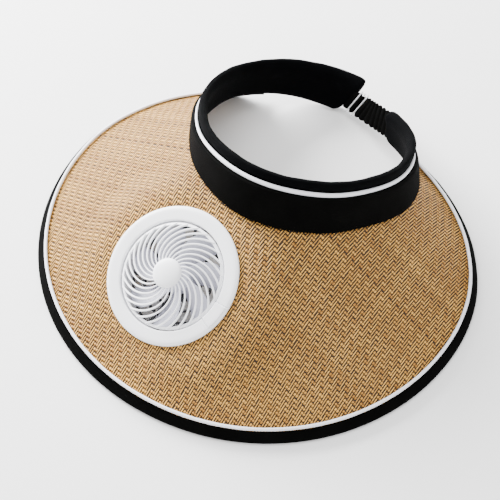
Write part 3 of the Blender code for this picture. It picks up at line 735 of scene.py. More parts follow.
def cord_material(settings):
    """Satin cord in a faint lilac white: fine slanting ribs, with painted shade making their grooves darker.
    """
    finish = Finish("white_cord_satin", settings.cord, 0.5, Specular_IOR_Level=0.4, Sheen_Weight=0.25)
    calculate = finish.calculate
    along = calculate("MULTIPLY", finish.note("along"), math.tau / (1.1 * MM))
    around = calculate("MULTIPLY", finish.note("around"), math.tau / (4.0 * MM))
    twist = calculate("SINE", calculate("ADD", along, around))
    uneven = finish.stretch(finish.noise(finish.place(), scale=90.0), -0.15, 0.15)
    # Painted shade: the colour is darker where the ribs' bump is low, in their grooves.
    share = calculate("ADD", calculate("MULTIPLY_ADD", twist, 0.22, 0.5), uneven)
    finish.feed("Base Color", finish.blend(share, scaled(settings.cord, 0.87), settings.cord))
    finish.bump(0.3, 0.10 * MM, Height=twist)
    return finish.material


def plastic_material(name, colour, roughness):
    """Moulded plastic: an almost smooth skin with a faint grain and a slight variation in gloss."""
    finish = Finish(name, colour, roughness, Specular_IOR_Level=0.5)
    place = finish.place()
    clouds = finish.noise(place, scale=45.0, detail=3.0)
    share = finish.stretch(clouds, 0.0, 1.0)
    finish.feed("Base Color", finish.blend(share, scaled(colour, 0.96), colour))
    finish.feed("Roughness", finish.stretch(clouds, roughness - 0.05, roughness + 0.07))
    finish.bump(0.12, 0.03 * MM, Height=finish.noise(place, scale=2600.0, detail=1.0))
    return finish.material


def metal_material(name, colour):
    """Drawn steel, with fine rings turned into it."""
    finish = Finish(name, colour, 0.35, Metallic=1.0)
    rings = finish.combine(finish.calculate("MULTIPLY", finish.note("around"), 4000.0))
    rings = finish.noise(rings, scale=1.0)
    finish.feed("Roughness", finish.stretch(rings, 0.28, 0.45))
    finish.bump(0.2, 0.03 * MM, Height=rings)
    return finish.material


def brim_stations():
    """Where the brim's rows of points lie: flange below 0, fold 0, piping line 1, edge 2."""
    flange = spread(-FLANGE_SHARE, 0.0, FLANGE_STEPS)[:-1]
    return flange + spread(0.0, 1.0, STRAW_STEPS) + spread(1.0, 1.0 + TUCKED_SHARE, TUCKED_STEPS)[1:]


def brim_surface():
    """Points and normals of the brim's middle surface, by angle and station."""
    points = []
    for angle in spread(-BRIM_END, BRIM_END, BRIM_STEPS):
        flange, fold, line, edge = brim_lines(angle)
        row = []
        for station in brim_stations():
            if station < 0.0:
                row.append(fold.lerp(flange, -station))
            elif station <= 1.0:
                row.append(flattened(fold.lerp(line, station), station))
            else:
                row.append(line.lerp(edge, station - 1.0))
        points.append([tuple(point) for point in row])
    points = np.array(points)
    normals = np.cross(np.gradient(points, axis=0), np.gradient(points, axis=1))
    normals /= np.linalg.norm(normals, axis=2)[..., None]
    if normals[points.shape[0] // 2, points.shape[1] // 2, 2] < 0.0:
        normals = -normals
    return points, normals


def spread_field(grid, first, second):
    """Sum the steps between neighbours of a grid into its points."""
    total = np.zeros(grid)
    total[1:] += first
    total[:-1] -= first
    total[:, 1:] += second
    total[:, :-1] -= second
    return total


def cloth_coordinate(points, normals, direction):
    """Lengths on the cloth along one direction, fitted so that its steps match those on the surface."""
    direction = np.array(direction)
    on_surface = direction - (normals @ direction)[..., None] * normals
    on_surface /= np.linalg.norm(on_surface, axis=2)[..., None]

    def steps_of(axis):
        step = np.diff(points, axis=axis)
        middle = on_surface[1:] + on_surface[:-1] if axis == 0 else on_surface[:, 1:] + on_surface[:, :-1]
        return 0.5 * (step * middle).sum(2)

    grid = points.shape[:2]
    wanted = spread_field(grid, steps_of(0), steps_of(1))
    value = points @ direction
    rest = wanted - spread_field(grid, np.diff(value, axis=0), np.diff(value, axis=1))
    search = rest.copy()
    for _ in range(FIT_ROUNDS):
        pushed = spread_field(grid, np.diff(search, axis=0), np.diff(search, axis=1))
        size = (rest * rest).sum()
        step = size / max((search * pushed).sum(), TINY)
        value += step * search
        rest -= step * pushed
        search = rest + (rest * rest).sum() / max(size, TINY) * search
    return value - value[grid[0] // 2, 0]


class StrawCloth:
    """The flat woven cloth laid on the brim: it finds the place on the brim of a point of the cloth."""

    def __init__(self, settings):
        self.points, self.normals = brim_surface()
        sine, cosine = math.sin(settings.turn), math.cos(settings.turn)
        self.u = cloth_coordinate(self.points, self.normals, (cosine, sine, 0.0))
        self.v = cloth_coordinate(self.points, self.normals, (-sine, cosine, 0.0))
        count, width = self.u.shape
        i, j = np.meshgrid(np.arange(count - 1), np.arange(width - 1), indexing="ij")
        a = i * width + j
        b, c, d = a + width, a + width + 1, a + 1
        halves = [np.stack(corners, -1).reshape(-1, 3) for corners in ((a, b, c), (a, c, d))]
        triangles = np.concatenate(halves)
        inverse = np.array(FAN_INVERSE)
        local = self.points.reshape(-1, 3)[triangles].mean(1) @ inverse[:3, :3].T + inverse[:3, 3]
        from_axis = np.hypot(local[:, 0], local[:, 1])
        outside = (from_axis > STRAW_HOLE_RADIUS) | (np.abs(local[:, 2]) > FLAT_RADIUS)
        self.triangles = triangles[outside]
        self.laid = np.stack((self.u.ravel(), self.v.ravel(), np.zeros(count * width)), 1)
        self.tree = BVHTree.FromPolygons(self.laid.tolist(), self.triangles.tolist())

    def places(self, u, v):
        """Points, normals and a mask of what lies on the brim, for points of the cloth."""
        down = Vector((0.0, 0.0, -1.0))
        found = [self.tree.ray_cast(Vector((x, y, 1.0)), down)[2] for x, y in zip(u, v)]
        valid = np.array([index is not None for index in found])
        corners = self.triangles[[index or 0 for index in found]]
        a, b, c = (self.laid[corners[:, k], :2] for k in range(3))
        target = np.stack((u, v), 1)
        area = np.cross(b - a, c - a)
        second = np.cross(target - a, c - a) / area
        third = np.cross(b - a, target - a) / area
        shares = np.stack((1.0 - second - third, second, third), 1)[..., None]
        points = (self.points.reshape(-1, 3)[corners] * shares).sum(1)
        normals = (self.normals.reshape(-1, 3)[corners] * shares).sum(1)
        normals /= np.linalg.norm(normals, axis=1)[:, None]
        return points, normals, valid


def warp_is_over(i, j):
    """Two over, two under, one step aside on each row."""
    return (i + j) % 4 < 2


def strip_mesh(name, cloth, settings, warp, seed):
    """All strips of one direction, each a closed flat ribbon that passes over and under the others."""
    chance = np.random.default_rng(seed)
    pitch = settings.warp_pitch if warp else settings.weft_pitch
    other = settings.weft_pitch if warp else settings.warp_pitch
    width = settings.warp_width if warp else settings.weft_width
    mine, theirs = (cloth.u, cloth.v) if warp else (cloth.v, cloth.u)
    low, high = (round(float(limit) / pitch) for limit in (mine.min(), mine.max()))
    first, last = (round(float(limit) / other) for limit in (theirs.min(), theirs.max()))
    crossings = np.repeat(np.arange(first, last + 1), 2)
    at = (crossings + np.tile((-FLOAT_SHARE, FLOAT_SHARE), last - first + 1)) * other
    verts, faces, notes = [], [], []
    for strand in range(low, high + 1):
        shift = chance.normal(0.0, STRIP_DRIFT) * pitch
        size = width * (1.0 + STRIP_SPREAD * chance.normal())
        tone = chance.random()
        place = np.full(len(at), strand * pitch + shift)
        points, normals, valid = cloth.places(*((place, at) if warp else (at, place)))
        over = warp_is_over(strand, crossings) if warp else ~warp_is_over(crossings, strand)
        lift = np.where(over, 1.0, -1.0)
        breaks = np.flatnonzero(np.diff(np.concatenate(([0], valid.astype(int), [0]))))
        for start, stop in zip(breaks[::2], breaks[1::2]):
            count = stop - start
            if count < SHORTEST_RUN:
                continue
            run = slice(start, stop)
            centre = points[run] + settings.lift * lift[run, None] * normals[run]
            side = np.cross(normals[run], np.gradient(points[run], axis=0))
            side *= 0.5 * size / np.linalg.norm(side, axis=1)[:, None]
            rise = 0.5 * settings.thickness * normals[run]
            base = sum(len(part) for part in verts)
            ring = np.stack((centre - side, centre + rise, centre + side, centre - rise), 1)
            verts.append(ring.reshape(-1, 3))
            i, j = np.meshgrid(np.arange(count - 1), np.arange(4), indexing="ij")
            here, turn = base + i * 4, (j + 1) % 4
            faces.append(np.stack((here + j, here + turn, here + 4 + turn, here + 4 + j), -1).reshape(-1, 4))
            faces.append(base + np.array(((3, 2, 1, 0), (0, 1, 2, 3))) + np.array(((0,), (4 * (count - 1),))))
            raised = 0.5 + 0.5 * np.outer(lift[run], (1.0, 1.0, 1.0, -1.0)).ravel()
            notes.append(np.stack((np.full(4 * count, tone), np.repeat(at[run], 4),
                                   np.tile((-1.0, 0.0, 1.0, 0.0), count), raised), 1))
    mesh = bpy.data.meshes.new(name)
    mesh.from_pydata(np.concatenate(verts).tolist(), [], np.concatenate(faces).tolist())
    for note, values in zip(STRIP_NOTES, np.concatenate(notes).T):
        set_attribute(mesh, note, values)
    mesh.shade_smooth()
    return mesh


def shade_sheet_mesh(cloth):
    """A thin deep brown sheet through the cloth's middle, painted shade seen only deep between the strips;
    the straw itself has no such sheet.
    """
    work = bmesh.new()
    for side in (0.5, -0.5):
        shifted = (cloth.points + side * SHADE_SHEET_THICKNESS * cloth.normals).reshape(-1, 3)
        verts = [work.verts.new(point) for point in shifted]
        for triangle in cloth.triangles:
            work.faces.new([verts[k] for k in (triangle if side > 0 else reversed(triangle))])
    work.verts.ensure_lookup_table()
    work.verts.index_update()
    half = len(work.verts) // 2
    rim = [edge for edge in work.edges if edge.is_boundary and max(v.index for v in edge.verts) < half]
    for edge in rim:
        a, b = edge.verts
        work.faces.new((b, a, work.verts[a.index + half], work.verts[b.index + half]))
    bmesh.ops.delete(work, geom=[v for v in work.verts if not v.link_faces], context="VERTS")
    mesh = bpy.data.meshes.new("straw_shade_sheet")
    work.to_mesh(mesh)
    work.free()
    return tidy_mesh(mesh)


class FANHAT_OT_straw_brim(bpy.types.Operator):
    """Weave the brim from flat strips of paper straw, two over and two under"""

    bl_idname = "fan_hat.straw_brim"
    bl_label = "Straw Brim"

    def execute(self, context):
        settings = context.scene.fan_hat_straw
        cloth = StrawCloth(settings)
        # A sheet of painted shade, seen only deep between the strips
        add_piece(shade_sheet_mesh(cloth), gap_shade_material(settings), "hat", "brim")
        # Painted shade: edge_shade, dip_shade and crease_shade set how much darker each kind of strip is
        # coloured at its edges, dips and creases.
        finish = straw_material("straw_warp_strips", settings, settings.weft_pitch,
                                share_pale=0.30, edge_shade=1.30, dip_shade=0.15, crease_shade=0.0)
        warp = strip_mesh("straw_warp", cloth, settings, warp=True, seed=3)
        add_piece(warp, finish, "hat", "brim")
        finish = straw_material("straw_weft_strips", settings, settings.warp_pitch,
                                share_pale=0.02, edge_shade=0.30, dip_shade=0.90, crease_shade=1.50)
        weft = strip_mesh("straw_weft", cloth, settings, warp=False, seed=5)
        add_piece(weft, finish, "hat", "brim")
        return {"FINISHED"}


class FANHAT_OT_brim_edge(bpy.types.Operator):
    """Fold the black tape round the brim's edge and lay the white cord along it"""

    bl_idname = "fan_hat.brim_edge"
    bl_label = "Brim Edge"

    def execute(self, context):
        settings = context.scene.fan_hat_cloth
        slot = 0.5 * BRIM_THICKNESS + BINDING_SLACK
        half = slot + BINDING_CLOTH
        seat = 0.5 * BRIM_THICKNESS + GAP + EDGE_PIPING_RADIUS
        hollow = [(TAPE_START, -slot), (TAPE_SLOT_END, -slot), (TAPE_SLOT_END, slot), (TAPE_START, slot)]
        rows, centres, radii = [], [], []
        for number, angle in enumerate(spread(-BRIM_END, BRIM_END, 2 * BRIM_STEPS)):
            _, fold, line, edge = brim_lines(angle)
            normal = edge_normal(angle, (edge - line).normalized())
            swell = half * (1.0 + 0.4 * settings.pucker / half * ripple(0.9 * number, 2.0))
            section = [(share, height * swell) for share, height in TAPE_SECTION] + hollow
            rows.append([tuple(line + share * (edge - line) + height * normal) for share, height in section])
            slope = (line - fold).normalized()
            lift = seat + 0.5 * settings.pucker * ripple(0.5 * number, 1.0)
            centres.append(line - EDGE_PIPING_BACK * slope + lift * edge_normal(angle, slope))
            radii.append(EDGE_PIPING_RADIUS * (1.0 + 0.06 * ripple(0.7 * number, 4.0)))
        tape = cloth_material("black_binding_tape", settings.band, grain=0.9 * MM, depth=0.10 * MM)
        piece = add_piece(skin("binding_tape", rows), tape, "hat", "brim_binding")
        cord = skin("edge_cord", tube_rows(centres, radii, 12))
        cord.shade_smooth()
        add_piece(cord, cord_material(settings), "hat", "brim_piping")
        return {"FINISHED"}


class FANHAT_OT_headband(bpy.types.Operator):
    """Shape the band's outer cloth wall, flared at its foot"""

    bl_idname = "fan_hat.headband"
    bl_label = "Headband"

    def execute(self, context):
        settings = context.scene.fan_hat_cloth
        rows = []
        for angle in band_angles():
            drop = band_size(angle)[1]
            section = [(inset * MM, height * MM + share * drop) for inset, height, share in WALL_SECTION]
            curve = closed_curve(section, 3)
            rows.append([tuple(band_point(angle, inset, height)) for inset, height in curve])
        rows = pillowed(rows)
        cloth = cloth_material("black_band_cloth", settings.band, grain=0.8 * MM, depth=0.08 * MM)
        piece = add_piece(skin("headband_wall", rows), cloth, "hat", "headband")
        return {"FINISHED"}


def pillowed(rows):
    """Draw the sections at both ends of the band together, so that it ends like a stuffed tube."""
    rows = np.asarray(rows, float)
    for number, angle in enumerate(band_angles()):
        near = tail_shape(angle)[2]
        if near < TAIL_PILLOW:
            share = math.sqrt(max(0.02, 1.0 - (1.0 - near / TAIL_PILLOW) ** 2))
            middle = rows[number].mean(0)
            rows[number] = middle + share * (rows[number] - middle)
    return rows


class FANHAT_OT_band_cord(bpy.types.Operator):
    """Run the white cord round the band, fading into its seam at both ends"""

    bl_idname = "fan_hat.band_cord"
    bl_label = "Band Cord"

    def execute(self, context):
        settings = context.scene.fan_hat_cloth
        points, radii = [], []
        for number, angle in enumerate(spread(PIPING_FROM, PIPING_TO, 2 * BAND_STEPS)):
            points.append(band_point(angle, PIPING_INSET, 0.0))
            radius = table_value(CORD_ROWS, angle, 1) * MM
            radii.append(radius * (1.0 + 0.03 * ripple(0.4 * number, 3.0)))
        cord = skin("band_cord", tube_rows(points, radii, 14))
        cord.shade_smooth()
        add_piece(cord, cord_material(settings), "hat", "band_piping")
        return {"FINISHED"}


class FANHAT_OT_padded_roll(bpy.types.Operator):
    """Stuff the padded roll and the inner wall that the head touches"""

    bl_idname = "fan_hat.padded_roll"
    bl_label = "Padded Roll"

    def execute(self, context):
        settings = context.scene.fan_hat_cloth
        rows = []
        for number, angle in enumerate(band_angles()):
            drop, rise = band_size(angle)[1:3]
            rise += TAIL_PUFF * ease((angle - PUFF_FROM) / PUFF_SPAN)
            section = [(inset * MM, height * MM + of_drop * drop + of_rise * rise)
                       for inset, height, of_drop, of_rise in ROLL_SECTION]
            middle = np.array((ROLL_MIDDLE_INSET, 0.5 * rise))
            row = []
            for inset, height in closed_curve(section, 4):
                swell = settings.softness * ripple(0.16 * number, 1.0) * ease(height / rise)
                seam = math.exp(-((height - ROLL_SEAM_SHARE * rise) / ROLL_SEAM_WIDTH) ** 2)
                swell -= settings.pucker * seam * (1.0 + ripple(1.9 * number, 2.0))
                away = np.array((inset, height)) - middle
                away *= swell / max(np.linalg.norm(away), 1e-6)
                row.append(tuple(band_point(angle, inset + away[0], height + away[1])))
            rows.append(row)
        knit = cloth_material("black_padded_knit", settings.roll, grain=1.1 * MM, depth=0.12 * MM,
                              sheen=0.002, roughness=0.85)
        piece = add_piece(skin("padded_roll", pillowed(rows)), knit, "hat", "sweatband")
        return {"FINISHED"}


def strap_frame():
    """Ends of the strap, its direction, and its inward and upright directions."""
    start = band_point(BAND_START, STRAP_START_INSET, STRAP_START_HEIGHT)
    stop = band_point(BAND_STOP, STRAP_INSET, STRAP_HEIGHT)
    ahead = (stop - start).normalized()
    upright = Vector((0.0, math.sin(LOOP_TILT), math.cos(LOOP_TILT)))
    inward = upright.cross(ahead).normalized()
    if inward.dot(loop_point(0.0, 0.0, STRAP_HEIGHT) - start) < 0.0:
        inward = -inward
    upright = ahead.cross(inward).normalized()
    return start, stop, ahead, inward, upright if upright.z > 0.0 else -upright


def strap_mesh(start, length, ahead, inward, upright):
    """The gathered elastic, threaded over and under the slider's bars."""
    slider_end = SLIDER_FROM_TAIL + SLIDER_ZONE
    rows = []
    for along in spread(-STRAP_TUCK, length + STRAP_TUCK, STRAP_ROWS):
        from_slider = (along - SLIDER_FROM_TAIL) / SLIDER_PITCH
        threaded = abs(from_slider) <= 1.5
        past = max(0.0, along - slider_end) / (length - slider_end)
        weave = WEAVE_DEPTH * math.cos(math.pi * from_slider) if threaded else 0.0
        gather = abs(math.sin(STRAP_GATHERS * math.pi * past)) ** 0.8
        side = upright + TAIL_LEAN * (1.0 - ease(past / STRAP_LEAN_SHARE)) * ahead
        half_width = STRAP_HALF_WIDTH + STRAP_SCALLOP * gather
        half_thick = 0.5 * (THREADED_THICKNESS if threaded else STRAP_THICKNESS)
        row = []
        for turn in round_turn(STRAP_SIDES):
            across = math.copysign(abs(math.cos(turn)) ** 0.45, math.cos(turn))
            through = math.copysign(abs(math.sin(turn)) ** 0.75, math.sin(turn))
            puff = 0.5 * STRAP_PUFF * gather * (0.75 + 0.25 * math.cos(3.0 * across + 5.0 * past))
            depth = weave + (half_thick + puff) * through
            row.append(tuple(start + along * ahead + half_width * across * side + depth * inward))
        rows.append(row)
    return skin("gathered_elastic", rows)


def slider_mesh(centre, ahead, inward, upright):
    """Three upright bars, joined by a bar above and a bar below."""
    side = (upright + TAIL_LEAN * ahead).normalized()

    def bar(middle, direction, half_length, steps):
        line = [middle + share * half_length * direction for share in spread(-1.0, 1.0, steps)]
        return skin("bar", tube_rows(line, SLIDER_HALF_BAR, 10, SLIDER_FLATNESS, up=inward))

    bars = [bar(centre + place * SLIDER_PITCH * ahead, side, SLIDER_HALF_LENGTH, 8) for place in (-1, 0, 1)]
    bars += [bar(centre + place * (SLIDER_HALF_LENGTH - SLIDER_HALF_BAR) * side, ahead,
                 SLIDER_PITCH + 0.5 * SLIDER_HALF_BAR, 6) for place in (-1, 1)]
    return join_meshes("slider_frame", bars)


class FANHAT_OT_back_closure(bpy.types.Operator):
    """Gather the elastic strap and thread it through its slider"""

    bl_idname = "fan_hat.back_closure"
    bl_label = "Back Closure"

    def execute(self, context):
        cloth = context.scene.fan_hat_cloth
        start, stop, ahead, inward, upright = strap_frame()
        length = (stop - start).length
        elastic = cloth_material("black_gathered_elastic", cloth.band, grain=0.7 * MM, depth=0.14 * MM)
        strap = add_piece(strap_mesh(start, length, ahead, inward, upright), elastic, "hat",
                          "elastic_strap")
        plastic = plastic_material("white_slider_plastic", context.scene.fan_hat_fan.plastic, 0.35)
        slider = slider_mesh(start + SLIDER_FROM_TAIL * ahead, ahead, inward, upright)
        add_piece(slider, plastic, "hat", "strap_slider")
        return {"FINISHED"}


def ring_angles():
    """Even steps round the ring, with close pairs at the latch's ends and at the seam."""
    turns = list(np.arange(0.0, 360.0, RING_STEP))
    for middle, half in ((0.0, LATCH_HALF_ANGLE), (SEAM_ANGLE, -SEAM_HALF_ANGLE)):
        for side in (-1.0, 1.0):
            turns += [(middle + side * (half + offset)) % 360.0
                      for offset in (-LATCH_RAMP, 0.0, SEAM_HALF_ANGLE, 2.0 * SEAM_HALF_ANGLE)]
    return sorted(set(round(turn, 4) for turn in turns))


def ring_mesh():
    """The flat ring with its raised latch and its seams, and the sleeve through the straw."""
    sleeve = -0.5 * BRIM_THICKNESS
    sleeve_outer = HOLE_RADIUS - 2.0 * GAP
    rows = []
    for turn in ring_angles():
        from_latch = min(turn, 360.0 - turn)
        raised = LATCH_RAISE * (1.0 - ease((from_latch - LATCH_HALF_ANGLE + LATCH_RAMP) / LATCH_RAMP))
        from_line = min(abs(turn - SEAM_ANGLE), abs(from_latch - LATCH_HALF_ANGLE - SEAM_HALF_ANGLE))
        groove = SEAM_DEPTH * max(0.0, 1.0 - from_line / SEAM_HALF_ANGLE)
        top = RING_TOP + raised - groove
        lip = RING_TOP - 0.4 * MM - groove
        section = [
            (sleeve_outer, RING_SEAT), (sleeve_outer, sleeve), (RING_INNER, sleeve),
            (RING_INNER, 0.6 * RING_TOP), (RING_INNER, RING_TOP - 0.7 * MM),
            (RING_INNER + 0.15 * MM, top - 0.3 * MM), (RING_INNER + 0.5 * MM, top),
            (RING_INNER + 1.4 * MM, top + 0.02 * MM), (RING_OUTER - 5.0 * MM, top + 0.02 * MM),
            (RING_OUTER - 2.6 * MM, top - 0.08 * MM), (RING_OUTER - 2.2 * MM, top - 0.2 * MM),
            (RING_OUTER - 2.0 * MM, lip + 0.1 * MM), (RING_OUTER - 1.0 * MM, lip - 0.12 * MM),
            (RING_OUTER - 0.4 * MM, lip - 0.55 * MM), (RING_OUTER - 0.1 * MM, lip - 1.1 * MM),
            (RING_OUTER, RING_SEAT + 0.3 * MM), (RING_OUTER - 0.15 * MM, RING_SEAT),
        ]
        angle = math.radians(turn)
        rows.append([(r * math.cos(angle), r * math.sin(angle), z) for r, z in section])
    return skin("ring_cover", rows, closed_path=True)


def duct_mesh():
    """The duct behind the ring, with the flange that clamps the straw."""
    top = -0.5 * BRIM_THICKNESS - GAP
    outer = RING_INNER + DUCT_WALL
    foot = top - DUCT_DEPTH
    profile = [
        (FLANGE_RADIUS - 0.4 * MM, top), (FLANGE_RADIUS, top - 0.4 * MM),
        (FLANGE_RADIUS, top - FLANGE_THICKNESS + 0.4 * MM),
        (FLANGE_RADIUS - 0.4 * MM, top - FLANGE_THICKNESS), (outer + 0.6 * MM, top - FLANGE_THICKNESS),
        (outer, top - FLANGE_THICKNESS - 0.6 * MM), (outer, foot + 0.5 * MM), (outer - 0.4 * MM, foot),
        (RING_INNER + 0.3 * MM, foot), (RING_INNER, foot + 0.3 * MM), (RING_INNER, top),
    ]
    return turned_mesh("duct", profile, 120)


class FANHAT_OT_fan_ring(bpy.types.Operator):
    """Set the flat ring with its raised latch on the straw, and the duct behind it"""

    bl_idname = "fan_hat.fan_ring"
    bl_label = "Fan Ring and Duct"

    def execute(self, context):
        white = plastic_material("white_ring_plastic", context.scene.fan_hat_fan.plastic, 0.34)
        add_fan_piece(ring_mesh(), white, "hat", "fan_ring")
        add_fan_piece(duct_mesh(), white, "hat", "fan_housing")
        return {"FINISHED"}


def grille_height(radius):
    """Domed guard: highest at the cap, level with the ring at its rim."""
    return GRILLE_RISE * (1.0 - min(radius / GRILLE_RIM, 1.0) ** GRILLE_ROUNDNESS)


def rib_mesh(turn, base):
    """One curved rib, which grows thicker from the cap to the rim."""
    points, radii = [], []
    for share in spread(-0.06, 1.04, 22):
        radius = GRILLE_CAP + (GRILLE_RING - GRILLE_CAP) * share
        angle = turn + RIB_SWEEP * max(share, 0.0) ** RIB_BEND
        height = base + grille_height(radius) - RIB_DROP
        points.append((radius * math.cos(angle), radius * math.sin(angle), height))
        radii.append(RIB_RADIUS + RIB_GROWTH * share)
    return skin("rib", tube_rows(points, radii, 10, RIB_FLATNESS))


def cap_mesh(top):
    """The grille's domed cap, from its highest point down."""
    profile = [(0.0, top)]
    for share in spread(0.1, 1.0, 10):
        radius = (GRILLE_CAP + 0.6 * MM) * math.sin(0.5 * math.pi * share)
        drop = (CAP_RISE + 0.7 * MM) * (1.0 - math.cos(0.5 * math.pi * share))
        profile.append((radius, top - drop))
    under = top - CAP_RISE - 1.6 * MM
    profile += [(GRILLE_CAP + 0.4 * MM, under), (0.0, under)]
    return turned_mesh("cap", profile, 72)


class FANHAT_OT_front_grille(bpy.types.Operator):
    """Sweep the curved ribs of the front guard from its domed cap to its rim"""

    bl_idname = "fan_hat.front_grille"
    bl_label = "Front Grille"

    def execute(self, context):
        settings = context.scene.fan_hat_fan
        base = RING_SEAT + GRILLE_SEAT * RING_THICKNESS
        parts = [rib_mesh(turn, base) for turn in round_turn(settings.ribs)]
        parts.append(cap_mesh(base + GRILLE_RISE + CAP_RISE))
        inner = GRILLE_RING - 0.3 * MM
        rim = [
            (inner, base + 0.5 * MM), (inner + 0.5 * MM, base + 1.0 * MM),
            (GRILLE_EDGE - 1.0 * MM, base + 0.75 * MM), (GRILLE_EDGE - 0.3 * MM, base + 0.35 * MM),
            (GRILLE_EDGE, base - 0.2 * MM), (GRILLE_EDGE, base - 2.3 * MM),
            (GRILLE_EDGE - 1.4 * MM, base - 2.3 * MM), (GRILLE_EDGE - 1.5 * MM, base - 0.8 * MM),
            (inner, base - 0.6 * MM),
        ]
        parts.append(turned_mesh("rim", rim, 144))
        grille = join_meshes("swirl_grille", parts)
        grille.transform(Matrix.Translation((GRILLE_SHIFT, 0.0, 0.0)))
        white = plastic_material("white_grille_plastic", settings.plastic, 0.32)
        add_fan_piece(grille, white, "hat", "fan_grille")
        return {"FINISHED"}


def guard_mesh():
    """Three flat rings and a disc, joined by round spokes."""
    low, high, soft = GUARD_TOP - GUARD_THICKNESS, GUARD_TOP, GUARD_SOFT
    parts = []
    for radius in GUARD_RINGS:
        inner = radius - GUARD_HALF_RING
        outer = radius + (GUARD_RIM if radius == GUARD_RINGS[0] else GUARD_HALF_RING)
        profile = [
            (inner, low + soft), (inner + soft, low), (outer - soft, low), (outer, low + soft),
            (outer, high - soft), (outer - soft, high), (inner + soft, high), (inner, high - soft),
        ]
        parts.append(turned_mesh("guard_ring", profile, 96))
    disc = [(0.0, low), (GUARD_DISC - 0.3 * MM, low), (GUARD_DISC, low + soft), (GUARD_DISC, high - soft),
            (GUARD_DISC - 0.3 * MM, high), (0.0, high)]
    parts.append(turned_mesh("guard_disc", disc, 96))
    middle = Vector((0.0, 0.0, 0.5 * (low + high)))
    for turn in round_turn(GUARD_SPOKES):
        direction = Vector((math.cos(turn), math.sin(turn), 0.0))
        points = [direction * radius + middle for radius in spread(SPOKE_START, GUARD_RINGS[0], 8)]
        parts.append(skin("spoke", tube_rows(points, SPOKE_RADIUS, 12, SPOKE_FLATNESS)))
    return join_meshes("slotted_guard", parts)


def motor_mesh():
    """The motor's can and its shaft."""
    top = MOTOR_BASE + MOTOR_HEIGHT
    profile = [
        (0.0, top + SHAFT_LENGTH), (SHAFT_RADIUS - 0.2 * MM, top + SHAFT_LENGTH),
        (SHAFT_RADIUS, top + SHAFT_LENGTH - 0.2 * MM), (SHAFT_RADIUS, top),
        (MOTOR_RADIUS - 0.9 * MM, top), (MOTOR_RADIUS - 0.25 * MM, top - 0.25 * MM),
        (MOTOR_RADIUS, top - 0.9 * MM), (MOTOR_RADIUS, MOTOR_BASE), (0.0, MOTOR_BASE),
    ]
    return turned_mesh("motor_can", profile, 72)


class FANHAT_OT_rear_guard(bpy.types.Operator):
    """Close the duct with the slotted rear guard, and stand the motor on it"""

    bl_idname = "fan_hat.rear_guard"
    bl_label = "Rear Guard and Motor"

    def execute(self, context):
        settings = context.scene.fan_hat_fan
        # Partly painted shade: the guard's near-black colour stands in for the shade inside the duct.
        shaded_guard_plastic = plastic_material("guard_plastic_shade_painted", settings.guard, 0.45)
        add_fan_piece(guard_mesh(), shaded_guard_plastic, "hat", "rear_guard")
        steel = metal_material("drawn_steel", settings.metal)
        add_fan_piece(motor_mesh(), steel, "hat", "fan_motor")
        return {"FINISHED"}


def blade_mesh(turn, middle):
    """One blade: a thin rounded section, wider and flatter towards its tip."""
    rows = []
    for share in spread(0.0, 1.0, 18):
        chord, pitch, lag = (table_value(BLADE_SECTIONS, share, column) for column in (1, 2, 3))
        radius = BLADE_ROOT + (BLADE_REACH - BLADE_ROOT) * share
        pitch = math.radians(pitch)
        corner = 1.0 - BLADE_CORNER * ease((share - BLADE_CORNER_FROM) / (1.0 - BLADE_CORNER_FROM))
        row = []
        for at in round_turn(18):
            along = 0.5 * chord * MM * corner * math.cos(at)
            lift = BLADE_HALF_THICKNESS * math.sin(at) + BLADE_CAMBER * math.sin(at) ** 2
            across = along * math.cos(pitch) - lift * math.sin(pitch)
            height = along * math.sin(pitch) + lift * math.cos(pitch)
            angle = turn + math.radians(lag) + across / max(radius, HUB_RADIUS)
            row.append((radius * math.cos(angle), radius * math.sin(angle), middle + height))
        rows.append(row)
    return skin("blade", rows)


class FANHAT_OT_rotor(bpy.types.Operator):
    """Shape the hub and its curved blades, which turn together"""

    bl_idname = "fan_hat.rotor"
    bl_label = "Rotor"

    def execute(self, context):
        settings = context.scene.fan_hat_fan
        top = HUB_BASE + HUB_HEIGHT
        bore = SHAFT_RADIUS + 0.25 * MM
        bore_top = HUB_BASE + SHAFT_LENGTH + GAP
        profile = [
            (0.0, top), (HUB_RADIUS - 2.6 * MM, top), (HUB_RADIUS - 1.3 * MM, top - 0.35 * MM),
            (HUB_RADIUS - 0.4 * MM, top - 1.2 * MM), (HUB_RADIUS, top - 2.4 * MM), (HUB_RADIUS, HUB_BASE),
            (bore, HUB_BASE), (bore, bore_top), (0.0, bore_top),
        ]
        parts = [turned_mesh("hub", profile, 72)]
        middle = 0.5 * (HUB_BASE + top) - 0.3 * MM
        parts += [blade_mesh(turn, middle) for turn in round_turn(settings.blades)]
        # Painted shade: white plastic coloured a darker lilac-tinted tone for the shade inside the duct.
        plastic = plastic_material("rotor_plastic_shade_painted", settings.blade, 0.4)
        add_fan_piece(join_meshes("bladed_rotor", parts), plastic, "rotor", "fan_rotor")
        return {"FINISHED"}


